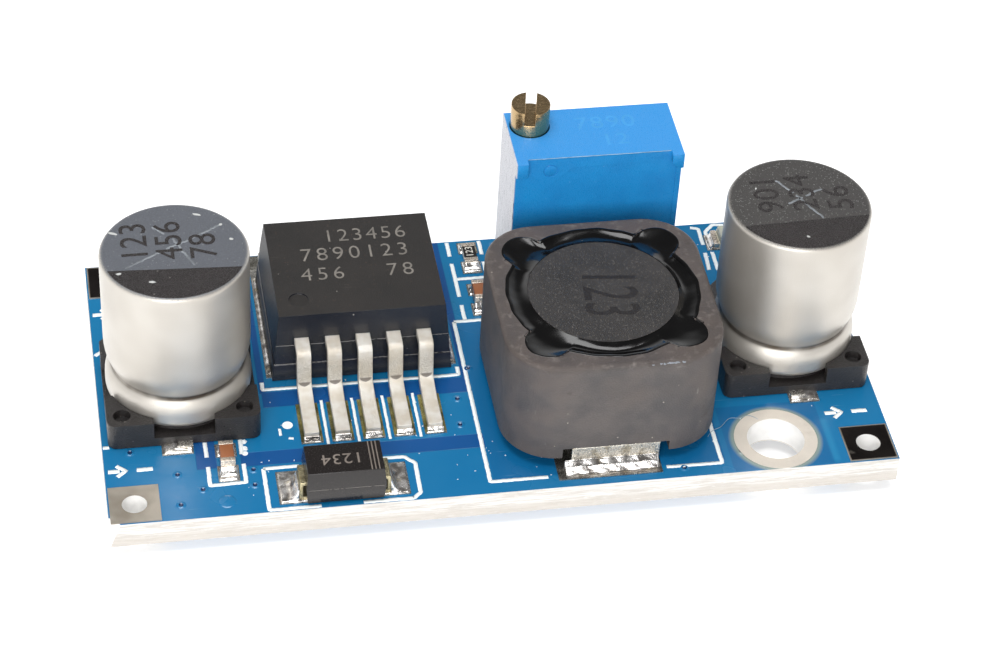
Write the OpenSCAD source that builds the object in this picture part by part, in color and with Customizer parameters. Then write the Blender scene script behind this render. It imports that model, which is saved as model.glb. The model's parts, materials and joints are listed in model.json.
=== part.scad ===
// Buck converter module: a blue board with two aluminium cans, a five lead regulator, a shielded
// inductor and a multiturn trimmer. Millimetres, +Z up. The origin is the board's centre on its underside.

/* [Board] */
// Board length along X, mm
board_w = 43.2; // [42:0.1:60]
// Board depth along Y, mm
board_d = 21; // [20.5:0.1:32]
// Board thickness, mm
board_t = 1.6; // [0.8:0.1:2.4]
// Fixing hole diameter after plating, mm
mount_hole_d = 3.2; // [2:0.1:3.6]
// Distance of a fixing hole's centre from the board's end, mm
mount_end_gap = 6.48; // [5.4:0.01:6.5]
// Distance of a fixing hole's centre from the board's long edge, mm
mount_edge_gap = 2.32; // [2.32:0.01:2.6]
// Width of the tinned ring around a fixing hole, mm
mount_ring_w = 0.72; // [0.3:0.01:0.8]
// Side of a square wire pad, mm
wire_pad = 2.7; // [2:0.05:2.8]
// Distance of the wire pads from the board's edges, mm
wire_pad_gap = 0.08; // [0.05:0.01:0.4]
// Wire hole diameter after plating, mm
wire_hole_d = 1.36; // [0.8:0.01:1.6]
// Thickness of the tinned copper, mm
copper_t = 0.05; // [0.035:0.005:0.07]
// Width of the worn bevel at the lower front left corner, mm
corner_wear = 0.6; // [0.1:0.05:1]

/* [Electrolytic capacitors] */
// Can diameter, mm
can_d = 8; // [6.3:0.1:8]
// Height of the input can's top above the board, mm
input_can_h = 10.3; // [8:0.05:12]
// Height of the output can's top above the board, mm
output_can_h = 10.45; // [8:0.05:12]
// Thickness of the can's aluminium, mm
can_wall = 0.25; // [0.2:0.01:0.35]
// Height of the can's lower rim above the board, mm
can_rim_h = 0.95; // [0.7:0.05:1.2]
// Height of the rolled groove above the board, mm
groove_h = 3; // [2.7:0.05:3.3]
// Depth of the rolled groove, mm
groove_depth = 0.34; // [0.2:0.01:0.4]
// Side of the square plastic base, mm
base_w = 8.3; // [8.3:0.05:8.4]
// Height of the base's corner blocks above the board, mm
base_h = 1.7; // [1.3:0.05:2]
// Height of the base's floor above the board, mm
base_floor_h = 0.62; // [0.5:0.01:0.68]
// Width of the gaps between the base's corner blocks, mm
base_gap_w = 3.3; // [2.6:0.05:3.8]
// Width of a capacitor terminal, mm
can_lead_w = 0.8; // [0.5:0.05:1.1]
// Thickness of a capacitor terminal, mm
can_lead_t = 0.2; // [0.15:0.01:0.3]
// How far a capacitor terminal stands out of its base, mm
can_lead_out = 0.4; // [0.2:0.05:0.6]
// Clearance between the can and its base, mm
can_fit = 0.05; // [0.03:0.01:0.1]
// Input capacitor's centre along X, mm
input_can_x = -17.1; // [-17.2:0.01:-17]
// Input capacitor's centre along Y, mm
input_can_y = -0.65; // [-0.8:0.01:-0.4]
// Output capacitor's centre along X, mm
output_can_x = 17.14; // [17.05:0.01:17.25]
// Output capacitor's centre along Y, mm
output_can_y = -0.54; // [-0.7:0.01:-0.3]

/* [Regulator] */
// Regulator's centre along X, mm
reg_x = -6.84; // [-6.95:0.01:-6.7]
// Moulded body's front edge along Y at the board, mm
reg_y = -0.38; // [-0.5:0.01:-0.2]
// Width of the moulded body, mm
reg_w = 10.1; // [9.8:0.05:10.3]
// Depth of the moulded body, mm
reg_d = 8.8; // [8.4:0.05:9]
// Height of the moulded body above the board, mm
reg_h = 4.48; // [4.2:0.01:4.7]
// Slope of the body's upper sides, mm
reg_draft = 0.2; // [0.05:0.01:0.3]
// Lead pitch, mm
lead_pitch = 1.702; // [1.6:0.001:1.75]
// Lead width, mm
lead_w = 0.8; // [0.6:0.01:0.9]
// Lead thickness, mm
lead_t = 0.46; // [0.4:0.01:0.5]
// Height of the leads' upper side where they leave the body, above the board, mm
lead_h = 2.95; // [2.7:0.01:3.1]
// Distance from the body to the leads' ends, mm
lead_reach = 4.85; // [4.6:0.01:4.9]
// Distance from the body to the leads' down bend, mm
lead_run = 1.1; // [0.9:0.01:1.3]
// Length of the flat part of a lead's foot, mm
lead_foot = 2.2; // [1.8:0.05:2.4]
// Thickness of the metal slug and tab, mm
slug_t = 1.27; // [1:0.01:1.4]
// How far the tab stands out behind the body, mm
tab_out = 1.25; // [0.8:0.05:1.3]
// How far the solder reaches out behind the tab, mm
tab_solder = 0.5; // [0.3:0.05:0.5]
// Side of the silicon chip on the slug, mm
die_w = 3; // [2:0.1:4]
// Thickness of the silicon chip, mm
die_t = 0.3; // [0.2:0.01:0.4]
// Radius of the pin one dimple in the body's top, mm
dimple_r = 0.55; // [0.4:0.01:0.7]
// Distance of the dimple from the body's left side and from its front, mm
dimple_in = 1.65; // [1.2:0.01:2]

/* [Inductor] */
// Inductor's centre along X, mm
ind_x = 5.9; // [5.7:0.01:6.1]
// Inductor's centre along Y, mm
ind_y = -2.95; // [-3.2:0.01:-2.9]
// Side of the square ferrite shield, mm
ind_w = 12; // [11.4:0.05:12.2]
// Height of the shield's top above the board, mm
ind_h = 7.2; // [6:0.05:8]
// Gap between the shield and the board, mm
ind_gap = 0.65; // [0.5:0.01:0.9]
// Radius of the shield's corners, mm
ind_corner_r = 3; // [1.5:0.05:3.4]
// Radius of the shield's bore, mm
ind_bore_r = 5.25; // [4.9:0.01:5.35]
// Radius of the four glue pockets, mm
ind_pocket_r = 1.2; // [0.9:0.01:1.3]
// Radius of the drum core's upper flange, mm
drum_r = 4.15; // [3.8:0.01:4.4]
// Radius of the drum core's post, mm
drum_post_r = 2.1; // [1.8:0.01:2.6]
// Diameter of the winding's wire, mm
wire_d = 0.55; // [0.4:0.01:0.6]
// Width of a terminal plate, mm
ind_tab_w = 4.9; // [4:0.05:5.2]
// Height of a terminal plate's top above the board, mm
ind_tab_h = 1.3; // [1.1:0.01:1.5]
// Thickness of a terminal plate, mm
ind_tab_t = 0.2; // [0.15:0.01:0.3]
// Depth of the glue pockets and of the resin in them, mm
resin_d = 1; // [0.5:0.05:1.5]
// How far the resin lies below the shield's top, mm
resin_low = 0.1; // [0:0.01:0.3]
// Thickness of the drum core's flanges, mm
flange_t = 1.2; // [0.9:0.05:1.4]

/* [Trimmer] */
// Trimmer's left side along X, mm
trim_x = 2.35; // [2.2:0.01:2.5]
// Trimmer's front face along Y, mm
trim_y = 5.25; // [5.1:0.01:5.3]
// Width of the housing, mm
trim_w = 9.55; // [9.4:0.01:9.8]
// Depth of the housing, mm
trim_d = 4.35; // [4.3:0.01:4.6]
// Height of the housing's top above the board, mm
trim_h = 10.05; // [9.9:0.01:10.4]
// Height of the housing's feet, mm
trim_foot = 0.1; // [0.08:0.01:0.2]
// Width of the two corner lugs, mm
lug_w = 0.66; // [0.4:0.01:0.8]
// Height of the two corner lugs, mm
lug_h = 0.95; // [0.6:0.01:1.2]
// How far the corner lugs stand out, mm
lug_out = 0.45; // [0.2:0.01:0.5]
// Adjusting screw's head diameter, mm
screw_d = 2.2; // [2:0.01:2.2]
// Height of the screw's head above the housing, mm
screw_out = 1.55; // [1:0.01:2]
// Adjusting screw's distance from the housing's left side, mm
screw_in_x = 1.3; // [1.3:0.01:1.4]
// Adjusting screw's distance from the housing's back, mm
screw_in_y = 1.3; // [1.3:0.01:1.4]
// Width of the screwdriver slot, mm
slot_w = 0.6; // [0.4:0.01:0.8]
// Depth of the screwdriver slot, mm
slot_depth = 0.78; // [0.5:0.01:1]
// Resting angle of the screwdriver slot, degrees
slot_turn = -12; // [-45:1:45]
// Teeth on the wheel
wheel_teeth = 31; // [31:1:31]
// Pin pitch, mm
pin_pitch = 2.54; // [2.5:0.01:2.54]
// Pin diameter, mm
pin_d = 0.5; // [0.4:0.01:0.6]
// Pin length below the board, mm
pin_out = 0.8; // [0.5:0.05:1.4]
// Running clearance of the screw and the wheel, mm
trim_fit = 0.05; // [0.04:0.01:0.06]

/* [Diode] */
// Diode's centre along X, mm
diode_x = -9; // [-9.1:0.01:-8.9]
// Diode's centre along Y, mm
diode_y = -9.1; // [-9.13:0.01:-9.05]
// Length of the diode's body, mm
diode_l = 4.3; // [4:0.05:4.4]
// Depth of the diode's body, mm
diode_w = 2.5; // [2.2:0.05:2.55]
// Height of the diode's body above the board, mm
diode_h = 2.25; // [2:0.05:2.4]
// Width of a diode terminal, mm
diode_lead_w = 1.45; // [1.2:0.05:1.6]
// Thickness of a diode terminal, mm
diode_lead_t = 0.2; // [0.15:0.01:0.25]

/* [Chip parts] */
// Chip length, mm
chip_l = 1.6; // [1.5:0.01:1.65]
// Chip width, mm
chip_w = 0.8; // [0.7:0.01:0.85]
// Ceramic capacitor height, mm
chip_cap_h = 0.8; // [0.6:0.01:0.9]
// Chip resistor height, mm
chip_res_h = 0.45; // [0.4:0.01:0.55]
// Length of a chip's metal end, mm
chip_end = 0.3; // [0.2:0.01:0.4]
// Thickness of a chip's metal end, mm
chip_skin = 0.03; // [0.02:0.01:0.05]
// Height of the lamp chip's lens, mm
lens_h = 0.45; // [0.3:0.01:0.6]
// Length of the lamp chip, mm
lamp_l = 2; // [1.9:0.05:2.1]
// Width of the lamp chip, mm
lamp_w = 1.25; // [1.15:0.05:1.3]
// Height of the lamp chip's base, mm
lamp_base_h = 0.4; // [0.3:0.01:0.45]
// Front chip capacitor's centre along X, mm
front_cap_x = -15; // [-15.2:0.01:-14.8]
// Front chip capacitor's centre along Y, mm
front_cap_y = -6.42; // [-6.5:0.01:-6.3]
// Rear chips' centre line along X, mm
rear_chips_x = 0.72; // [0.6:0.01:0.8]
// Rear chip capacitor's centre along Y, mm
rear_cap_y = 5.2; // [5:0.01:5.3]
// Sense resistor's centre along Y, mm
sense_y = 8.92; // [8.8:0.01:9]
// Lamp chip's centre along X, mm
lamp_x = 16.3; // [16:0.01:16.5]
// Lamp chip's centre along Y, mm
lamp_y = 8.7; // [8.5:0.01:9]
// Distance of the lamp's resistor in front of the lamp, mm
lamp_res_gap = 3.1; // [2.5:0.01:3.2]

/* [Hidden] */
$fn = 64;
top = board_t;
seat = board_t + copper_t;
wire_x = board_w / 2 - wire_pad_gap - wire_pad / 2;
wire_y = board_d / 2 - wire_pad_gap - wire_pad / 2;
mount_r = mount_hole_d / 2;
ring_r = mount_r + mount_ring_w;
wire_r = wire_hole_d / 2;
can_r = can_d / 2;
pin_hole_r = pin_d / 2 + 0.2;
pin_land_r = pin_hole_r + 0.3;
// regulator levels
part_y = reg_y;
lead_x0 = reg_x - 2 * lead_pitch;
lead_end_y = reg_y - lead_reach;
slug_x = 4;
tab_half = reg_w / 2 - 0.2;
slug_y0 = reg_y + 1.2;
tab_y = reg_y + reg_d + tab_out;
// trimmer levels
trim_z0 = top + trim_foot;
trim_z1 = top + trim_h;
trim_back = trim_y + trim_d;
trim_wall = 0.5;
trim_roof = 1;
trim_in_top = trim_z1 - trim_roof;
potting_h = 1;
potting_z = trim_z0 + potting_h;
screw_x = trim_x + screw_in_x;
screw_y = trim_back - screw_in_y;
screw_r = screw_d / 2;
worm_pitch_r = 0.78;
thread_e = 0.14;
wheel_r = 3.15;
wheel_t = 1;
worm_lead = 2 * PI * wheel_r / wheel_teeth;
wheel_x = screw_x + worm_pitch_r + wheel_r + 0.04;
wheel_z = (potting_z + trim_in_top) / 2;
pin_x = trim_x + trim_w / 2;
pin_y = trim_y + trim_wall + 0.6 + pin_d / 2;
element_t = 0.6;
// inductor levels
shield_z0 = top + ind_gap;
shield_z1 = top + ind_h;
// chip places: [x, y]
front_cap = [front_cap_x, front_cap_y];
rear_cap = [rear_chips_x, rear_cap_y];
sense_res = [rear_chips_x, sense_y];
lamp_place = [lamp_x, lamp_y];
lamp_res = [lamp_x, lamp_y - lamp_res_gap];

module ring(r1, r2, h)
{
    difference()
    {
        cylinder(r = r2, h = h);
        translate([0, 0, -1]) cylinder(r = r1, h = h + 2);
    }
}

module plate(x0, y0, x1, y1, z0, z1)
{
    translate([x0, y0, z0]) cube([x1 - x0, y1 - y0, z1 - z0]);
}

// a solid whose front view is shape 0 and whose side view is shape 1
module crossed(w, d)
{
    intersection()
    {
        translate([0, d, 0]) rotate([90, 0, 0]) linear_extrude(2 * d) children(0);
        translate([-w, 0, 0]) rotate([90, 0, 90]) linear_extrude(2 * w) children(1);
    }
}

// ---------- board ----------
module hole_places()
{
    for (s = [-1, 1])
        translate([s * (board_w / 2 - mount_end_gap), s * (mount_edge_gap - board_d / 2), 0]) children();
}

module wire_places()
{
    for (sx = [-1, 1])
        for (sy = [-1, 1])
            translate([sx * wire_x, sy * wire_y, 0]) children();
}

module pin_places()
{
    for (i = [-1, 0, 1]) translate([pin_x + i * pin_pitch, pin_y, 0]) children();
}

module circuit_board()
{
    color([0.11, 0.42, 0.66]) difference()
    {
        linear_extrude(board_t) difference()
        {
            square([board_w, board_d], center = true);
            hole_places() circle(mount_r);
            wire_places() circle(wire_r);
            pin_places() circle(pin_hole_r);
        }
        translate([-board_w / 2, -board_d / 2, 0]) rotate([0, 0, 45])
            rotate([0, atan2(corner_wear * sqrt(0.5), board_t), 0])
                translate([-6, -3, -4]) cube([6, 6, 6]);
    }
}

module pad_plate(z)
{
    translate([0, 0, z]) linear_extrude(copper_t) difference()
    {
        square([wire_pad, wire_pad], center = true);
        circle(wire_r);
    }
}

module wire_pads()
{
    color([0.8, 0.78, 0.74]) wire_places()
    {
        pad_plate(-copper_t);
        pad_plate(board_t);
    }
}

module hole_rings()
{
    color([0.8, 0.78, 0.74]) hole_places()
    {
        translate([0, 0, -copper_t]) ring(mount_r, ring_r, copper_t);
        translate([0, 0, board_t]) ring(mount_r, ring_r, copper_t);
    }
}

module pin_lands()
{
    color([0.8, 0.78, 0.74]) pin_places()
    {
        translate([0, 0, -copper_t]) ring(pin_hole_r, pin_land_r, copper_t);
        translate([0, 0, board_t]) ring(pin_hole_r, pin_land_r, copper_t);
    }
}

module land(x, y, w, d)
{
    translate([x - w / 2, y - d / 2, top]) cube([w, d, copper_t]);
}

module part_lands()
{
    color([0.74, 0.7, 0.6])
    {
        for (i = [0:4]) land(lead_x0 + i * lead_pitch, lead_end_y + 1.24, 1.2, 3.16);
        plate(reg_x - reg_w / 2 - 0.3, reg_y + 0.3, reg_x + reg_w / 2 + 0.3,
            tab_y + tab_solder + 0.23, top, seat);
        for (s = [-1, 1])
        {
            land(input_can_x - 0.46, input_can_y + s * 3.4, 1.7, 3.1);
            land(output_can_x + 0.33, output_can_y + s * 3.4, 1.7, 3.1);
            land(ind_x - 0.4, ind_y + s * (ind_w / 2 - 0.2), 5.75, 2.5);
            land(diode_x + s * 2.58, diode_y + 0.3, 1.9, 2.45);
            land(lamp_place[0] + s * (lamp_l / 2 - 0.05), lamp_place[1], 0.9, lamp_w + 0.15);
            land(lamp_res[0] + s * chip_l / 2, lamp_res[1], 0.9, chip_w + 0.2);
        }
        chip_lands(front_cap, 0.75);
        chip_lands(rear_cap, 0.62);
        chip_lands(sense_res, 0.62);
    }
}

// two lands of a chip that lies along Y; the front one reaches further out
module chip_lands(place, reach)
{
    land(place[0], place[1] - 0.35 - (reach + 0.45) / 2, 1.15, reach + 0.45);
    land(place[0], place[1] + 0.35 + 0.5, 1.15, 1);
}

// ---------- solder ----------
// concave fillet against a face at x = 0, reaching out by d and up by h, w wide along Y
module fillet(d, h, w)
{
    translate([0, w / 2, 0]) rotate([90, 0, 0]) linear_extrude(w)
        polygon([[0, 0], [d, 0], [d, 0.03], [0.6 * d, 0.12 * h], [0.3 * d, 0.38 * h], [0, h]]);
}

module fillet_at(x, y, turn, d, h, w)
{
    translate([x, y, seat]) rotate([0, 0, turn]) fillet(d, h, w);
}

module chip_solder(place, half, reach, h, w)
{
    fillet_at(place[0], place[1] - half, -90, reach, h, w);
    fillet_at(place[0], place[1] + half, 90, 0.4, h, w);
}

module can_solder(x, y, side)
{
    for (s = [-1, 1])
    {
        fillet_at(x, y + s * (base_w / 2 + can_lead_out), s * 90, 0.25, can_lead_t, can_lead_w);
        fillet_at(x + side * can_lead_w / 2, y + s * (base_w / 2 + can_lead_out / 2),
            side > 0 ? 0 : 180, 0.6, can_lead_t, can_lead_out);
    }
}

module pin_solder()
{
    r = pin_d / 2;
    pin_places() rotate_extrude() polygon([[r, -0.62], [r + 0.08, -0.56], [pin_hole_r + 0.06, -0.18],
        [pin_land_r, -copper_t], [pin_hole_r, -copper_t], [pin_hole_r, board_t + copper_t],
        [r, board_t + copper_t]]);
}

module solder_joints()
{
    color([0.82, 0.81, 0.79])
    {
        for (i = [0:4]) fillet_at(lead_x0 + i * lead_pitch, lead_end_y, -90, 0.3, 0.36, 0.95);
        fillet_at(reg_x, tab_y, 90, tab_solder, 0.8, 2 * tab_half - 2);
        for (s = [-1, 1])
        {
            fillet_at(reg_x + s * reg_w / 2, reg_y + reg_d / 2 + 0.3, s > 0 ? 0 : 180, 0.28, 0.14, reg_d - 0.6);
            fillet_at(ind_x - 0.25, ind_y + s * ind_w / 2, s * 90, 0.95, 0.5, 5.2);
            fillet_at(diode_x + s * (diode_l / 2 + diode_lead_t + 0.1), diode_y,
                s > 0 ? 0 : 180, 0.7, 0.9, 1.5);
            fillet_at(lamp_place[0] + s * lamp_l / 2, lamp_place[1], s > 0 ? 0 : 180,
                0.35, lamp_base_h, lamp_w - 0.05);
            fillet_at(lamp_res[0] + s * chip_l / 2, lamp_res[1], s > 0 ? 0 : 180, 0.4, 0.4, chip_w);
        }
        can_solder(input_can_x, input_can_y, -1);
        can_solder(output_can_x, output_can_y, 1);
        chip_solder(front_cap, chip_l / 2, 0.68, 0.5, 0.85);
        chip_solder(rear_cap, chip_l / 2, 0.55, 0.5, 0.85);
        chip_solder(sense_res, chip_l / 2, 0.55, 0.4, 0.85);
        pin_solder();
    }
}

// ---------- electrolytic capacitors ----------
module can_outline(h)
{
    polygon([[0, can_rim_h], [can_r - 0.3, can_rim_h], [can_r - 0.08, can_rim_h + 0.12],
        [can_r, can_rim_h + 0.35], [can_r, groove_h - 0.85], [can_r - 0.1, groove_h - 0.55],
        [can_r - groove_depth, groove_h - 0.1], [can_r - groove_depth, groove_h + 0.1],
        [can_r - 0.06, groove_h + 0.4], [can_r, groove_h + 0.6], [can_r, h - 0.35],
        [can_r - 0.1, h - 0.1], [can_r - 0.35, h], [0, h]]);
}

module can_hollow(h)
{
    w = can_wall;
    g = can_r - groove_depth - w;
    polygon([[0, can_rim_h - 1], [can_r - 0.95, can_rim_h - 1], [can_r - 0.95, can_rim_h + w],
        [can_r - w - 0.15, can_rim_h + w], [can_r - w, can_rim_h + w + 0.15], [can_r - w, groove_h - 0.9],
        [g, groove_h - 0.15], [g, groove_h + 0.15], [can_r - w, groove_h + 0.65],
        [can_r - w, h - w - 0.2], [can_r - w - 0.2, h - w], [0, h - w]]);
}

module can_shell(h)
{
    color([0.8, 0.8, 0.79]) translate([0, 0, top]) rotate_extrude($fn = 96) difference()
    {
        can_outline(h);
        can_hollow(h);
    }
}

module can_bung(h)
{
    color([0.12, 0.12, 0.12]) translate([0, 0, top]) difference()
    {
        rotate_extrude($fn = 96) intersection()
        {
            can_hollow(h);
            translate([0, can_rim_h + can_wall]) square([can_r, groove_h + 0.8 - can_rim_h - can_wall]);
        }
        for (s = [-1, 1]) translate([0, s * 1.55, 0]) cylinder(r = 0.3, h = groove_h + 2, $fn = 24);
    }
}

module can_winding(h)
{
    color([0.62, 0.5, 0.34]) translate([0, 0, top + groove_h + 0.95])
        ring(0.5, can_r - can_wall - 0.25, h - can_wall - 0.3 - groove_h - 0.95, $fn = 64);
}

module can_terminals()
{
    color([0.8, 0.79, 0.76]) for (s = [-1, 1])
    {
        translate([-can_lead_w / 2, s > 0 ? 1.15 : -base_w / 2 - can_lead_out, seat])
            cube([can_lead_w, base_w / 2 + can_lead_out - 1.15, can_lead_t]);
        translate([0, s * 1.55, seat]) cylinder(r = 0.3, h = groove_h + 0.95 - copper_t, $fn = 24);
    }
}

module base_plan()
{
    h = base_w / 2;
    r = 0.5;
    difference()
    {
        union()
        {
            translate([-h, -h + r]) square([base_w, base_w - r]);
            translate([-h + r, -h]) square([base_w - 2 * r, r + 0.1]);
            for (s = [-1, 1]) translate([s * (h - r), -h + r]) circle(r, $fn = 32);
        }
        for (s = [-1, 1]) translate([s * h, h]) rotate([0, 0, 45]) square([1.9, 1.9], center = true);
    }
}

module can_base()
{
    g = base_gap_w;
    color([0.1, 0.1, 0.1]) difference()
    {
        union()
        {
            translate([0, 0, seat]) linear_extrude(base_floor_h - copper_t) base_plan();
            translate([0, 0, top + base_floor_h - 0.1])
                cylinder(r = can_r - 0.45, h = can_rim_h - base_floor_h + 0.1);
            translate([0, 0, top + base_floor_h - 0.1]) linear_extrude(base_h - base_floor_h + 0.1) difference()
            {
                base_plan();
                square([g, 2 * base_w], center = true);
                square([2 * base_w, g], center = true);
            }
        }
        translate([0, 0, top + can_rim_h]) cylinder(r = can_r + can_fit, h = base_h, $fn = 96);
        translate([0, 0, top + base_floor_h]) ring(can_r - 0.45, can_r + can_fit, base_h, $fn = 96);
        for (s = [-1, 1])
        {
            translate([-can_lead_w / 2, s > 0 ? 1.15 : -base_w, seat - 0.1])
                cube([can_lead_w, base_w - 1.15, can_lead_t + 0.1]);
            translate([0, s * 1.55, 0]) cylinder(r = 0.35, h = 9, $fn = 24);
            translate([s * 3.32, -3.32, top + base_h - 0.5]) cylinder(r = 0.47, h = 1, $fn = 32);
        }
    }
}

module input_cap_can() { translate([input_can_x, input_can_y, 0]) can_shell(input_can_h); }
module input_cap_bung() { translate([input_can_x, input_can_y, 0]) can_bung(input_can_h); }
module input_cap_winding() { translate([input_can_x, input_can_y, 0]) can_winding(input_can_h); }
module input_cap_terminals() { translate([input_can_x, input_can_y, 0]) can_terminals(); }
module input_cap_base() { translate([input_can_x, input_can_y, 0]) can_base(); }
module output_cap_can() { translate([output_can_x, output_can_y, 0]) can_shell(output_can_h); }
module output_cap_bung() { translate([output_can_x, output_can_y, 0]) can_bung(output_can_h); }
module output_cap_winding() { translate([output_can_x, output_can_y, 0]) can_winding(output_can_h); }
module output_cap_terminals() { translate([output_can_x, output_can_y, 0]) can_terminals(); }
module output_cap_base() { translate([output_can_x, output_can_y, 0]) can_base(); }

// ---------- regulator ----------
module lead_shape()
{
    t = lead_t;
    r = -lead_run;
    f = lead_foot - lead_reach;
    c = copper_t;
    polygon([[1.9, lead_h], [r + 0.42, lead_h], [r + 0.2, lead_h - 0.05], [r + 0.06, lead_h - 0.17],
        [r, lead_h - 0.38], [r - 0.22, c + t + 0.38], [r - 0.3, c + t + 0.26], [r - 0.44, c + t + 0.19],
        [f, c + t], [-lead_reach, c + t], [-lead_reach, c], [f, c], [r - 0.3, c + 0.16],
        [r + 0.02, c + 0.34], [r + t - 0.17, c + 0.66], [r + t, lead_h - t - 0.12],
        [r + t + 0.12, lead_h - t], [1.9, lead_h - t]]);
}

module regulator_leads()
{
    color([0.83, 0.82, 0.78]) for (i = [0:4])
        translate([lead_x0 + i * lead_pitch - lead_w / 2, reg_y, top]) rotate([90, 0, 90])
            linear_extrude(lead_w) lead_shape();
}

module regulator_slug()
{
    color([0.72, 0.71, 0.69]) translate([0, 0, seat]) linear_extrude(slug_t) polygon([
        [reg_x - slug_x, slug_y0], [reg_x + slug_x, slug_y0], [reg_x + slug_x, reg_y + reg_d],
        [reg_x + tab_half, reg_y + reg_d], [reg_x + tab_half, tab_y - 0.5], [reg_x + tab_half - 0.5, tab_y],
        [reg_x - tab_half + 0.5, tab_y], [reg_x - tab_half, tab_y - 0.5], [reg_x - tab_half, reg_y + reg_d],
        [reg_x - slug_x, reg_y + reg_d]]);
}

module regulator_die()
{
    color([0.5, 0.5, 0.55]) translate([reg_x - die_w / 2, reg_y + (reg_d - die_w) / 2, seat + slug_t])
        cube([die_w, die_w, die_t]);
}

module regulator_body()
{
    w = reg_w / 2;
    m = lead_h - lead_t;
    b = slug_t + copper_t;
    color([0.12, 0.11, 0.1]) difference()
    {
        translate([reg_x, reg_y, top]) crossed(reg_w, 2 * reg_d)
        {
            polygon([[-w, copper_t], [w, copper_t], [w - 0.08, 1.13], [w - 0.14, 1.18], [w - 0.21, m],
                [w - 0.21 - reg_draft, reg_h], [0.21 + reg_draft - w, reg_h], [0.21 - w, m],
                [0.14 - w, 1.18], [0.08 - w, 1.13]]);
            polygon([[0, copper_t], [reg_d, copper_t], [reg_d, b], [reg_d - 0.1, b + 0.05],
                [reg_d - 0.15, m], [reg_d - 0.23 - reg_draft, reg_h], [0.13 + reg_draft, reg_h],
                [0.15, m], [0.1, 1.18], [0.05, 1.13]]);
        }
        regulator_leads();
        regulator_slug();
        regulator_die();
        translate([reg_x - reg_w / 2 + dimple_in, reg_y + dimple_in, top + reg_h - 0.08])
            cylinder(r = dimple_r, h = 1, $fn = 48);
    }
}

// ---------- inductor ----------
module rim_shape(half, h, e)
{
    square([half, h - e]);
    square([half - e, h]);
    translate([half - e, h - e]) circle(e, $fn = 32);
}

module soft_block(w, r, h, e)
{
    k = w / 2 - r;
    for (sx = [-1, 1])
        for (sy = [-1, 1])
            translate([sx * k, sy * k, 0]) rotate_extrude() rim_shape(r, h, e);
    for (a = [0, 90])
        rotate([0, 0, a]) translate([0, k, 0]) rotate([90, 0, 0]) linear_extrude(2 * k)
            for (s = [0, 1]) mirror([s, 0]) rim_shape(w / 2, h, e);
}

module bore_plan()
{
    circle(ind_bore_r, $fn = 96);
    for (sx = [-1, 1])
        for (sy = [-1, 1])
            translate([sx * 3.72, sy * 3.72]) circle(ind_pocket_r, $fn = 32);
}

module inductor_shield()
{
    notch = ind_tab_w + 1;
    color([0.27, 0.26, 0.26]) translate([ind_x, ind_y, shield_z0]) difference()
    {
        soft_block(ind_w, ind_corner_r, ind_h - ind_gap, 0.25);
        translate([0, 0, -1]) cylinder(r = ind_bore_r, h = ind_h + 2, $fn = 96);
        translate([0, 0, ind_h - ind_gap - resin_d - resin_low]) linear_extrude(ind_h) bore_plan();
        translate([-notch / 2, -ind_w, -1]) cube([notch, 2 * ind_w, 1 + ind_tab_h - ind_gap]);
    }
}

module inductor_drum()
{
    z0 = seat + ind_tab_t;
    color([0.2, 0.2, 0.2]) translate([ind_x, ind_y, 0]) difference()
    {
        union()
        {
            translate([0, 0, z0]) cylinder(r = ind_bore_r - 0.3, h = flange_t, $fn = 96);
            translate([0, 0, z0]) cylinder(r = drum_post_r, h = shield_z1 - z0);
            translate([0, 0, shield_z1 - flange_t]) cylinder(r = drum_r, h = flange_t, $fn = 96);
        }
        for (s = [-1, 1]) translate([-0.4, s > 0 ? 4 : -6, 0]) cube([0.8, 2, 5]);
    }
}

module inductor_winding()
{
    z0 = seat + ind_tab_t + flange_t + 0.1;
    rows = floor((shield_z1 - flange_t - 0.1 - z0) / wire_d);
    r1 = drum_post_r + 0.08;
    r2 = drum_r - 0.65;
    color([0.72, 0.38, 0.2]) translate([ind_x, ind_y, 0])
    {
        translate([0, 0, z0]) rotate_extrude($fn = 96)
        {
            translate([r1, 0.02]) square([r2 - r1, rows * wire_d - 0.04]);
            for (i = [0:rows - 1]) translate([r2, (i + 0.5) * wire_d]) circle(wire_d / 2, $fn = 20);
        }
        for (s = [-1, 1])
        {
            translate([0, s * 4.4, seat + ind_tab_t])
                cylinder(r = wire_d / 2, h = flange_t + 0.1 + wire_d, $fn = 24);
            translate([0, s * (r1 + 0.2), z0 + wire_d / 2]) rotate([-s * 90, 0, 0])
                cylinder(r = wire_d / 2 - 0.02, h = 4.4 - r1 - 0.2, $fn = 24);
        }
    }
}

module inductor_terminals()
{
    color([0.84, 0.82, 0.76]) for (s = [-1, 1])
        translate([ind_x - ind_tab_w / 2, ind_y, top]) rotate([90, 0, 90]) linear_extrude(ind_tab_w)
            polygon([for (p = [[3.4, copper_t], [ind_w / 2, copper_t], [ind_w / 2, ind_tab_h],
                [ind_w / 2 - ind_tab_t, ind_tab_h], [ind_w / 2 - ind_tab_t, copper_t + ind_tab_t],
                [3.4, copper_t + ind_tab_t]]) [s * p[0], p[1]]]);
}

module inductor_resin()
{
    color([0.04, 0.04, 0.04]) translate([ind_x, ind_y, shield_z1 - resin_d - resin_low])
        linear_extrude(resin_d) difference()
    {
        bore_plan();
        circle(drum_r, $fn = 96);
    }
}

// ---------- trimmer ----------
module screw_hole()
{
    translate([screw_x, screw_y, trim_in_top - 1]) cylinder(r = screw_r + trim_fit, h = 3, $fn = 48);
    translate([screw_x, screw_y, 0]) cylinder(r = worm_pitch_r + thread_e + 0.08, h = trim_in_top, $fn = 48);
}

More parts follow.
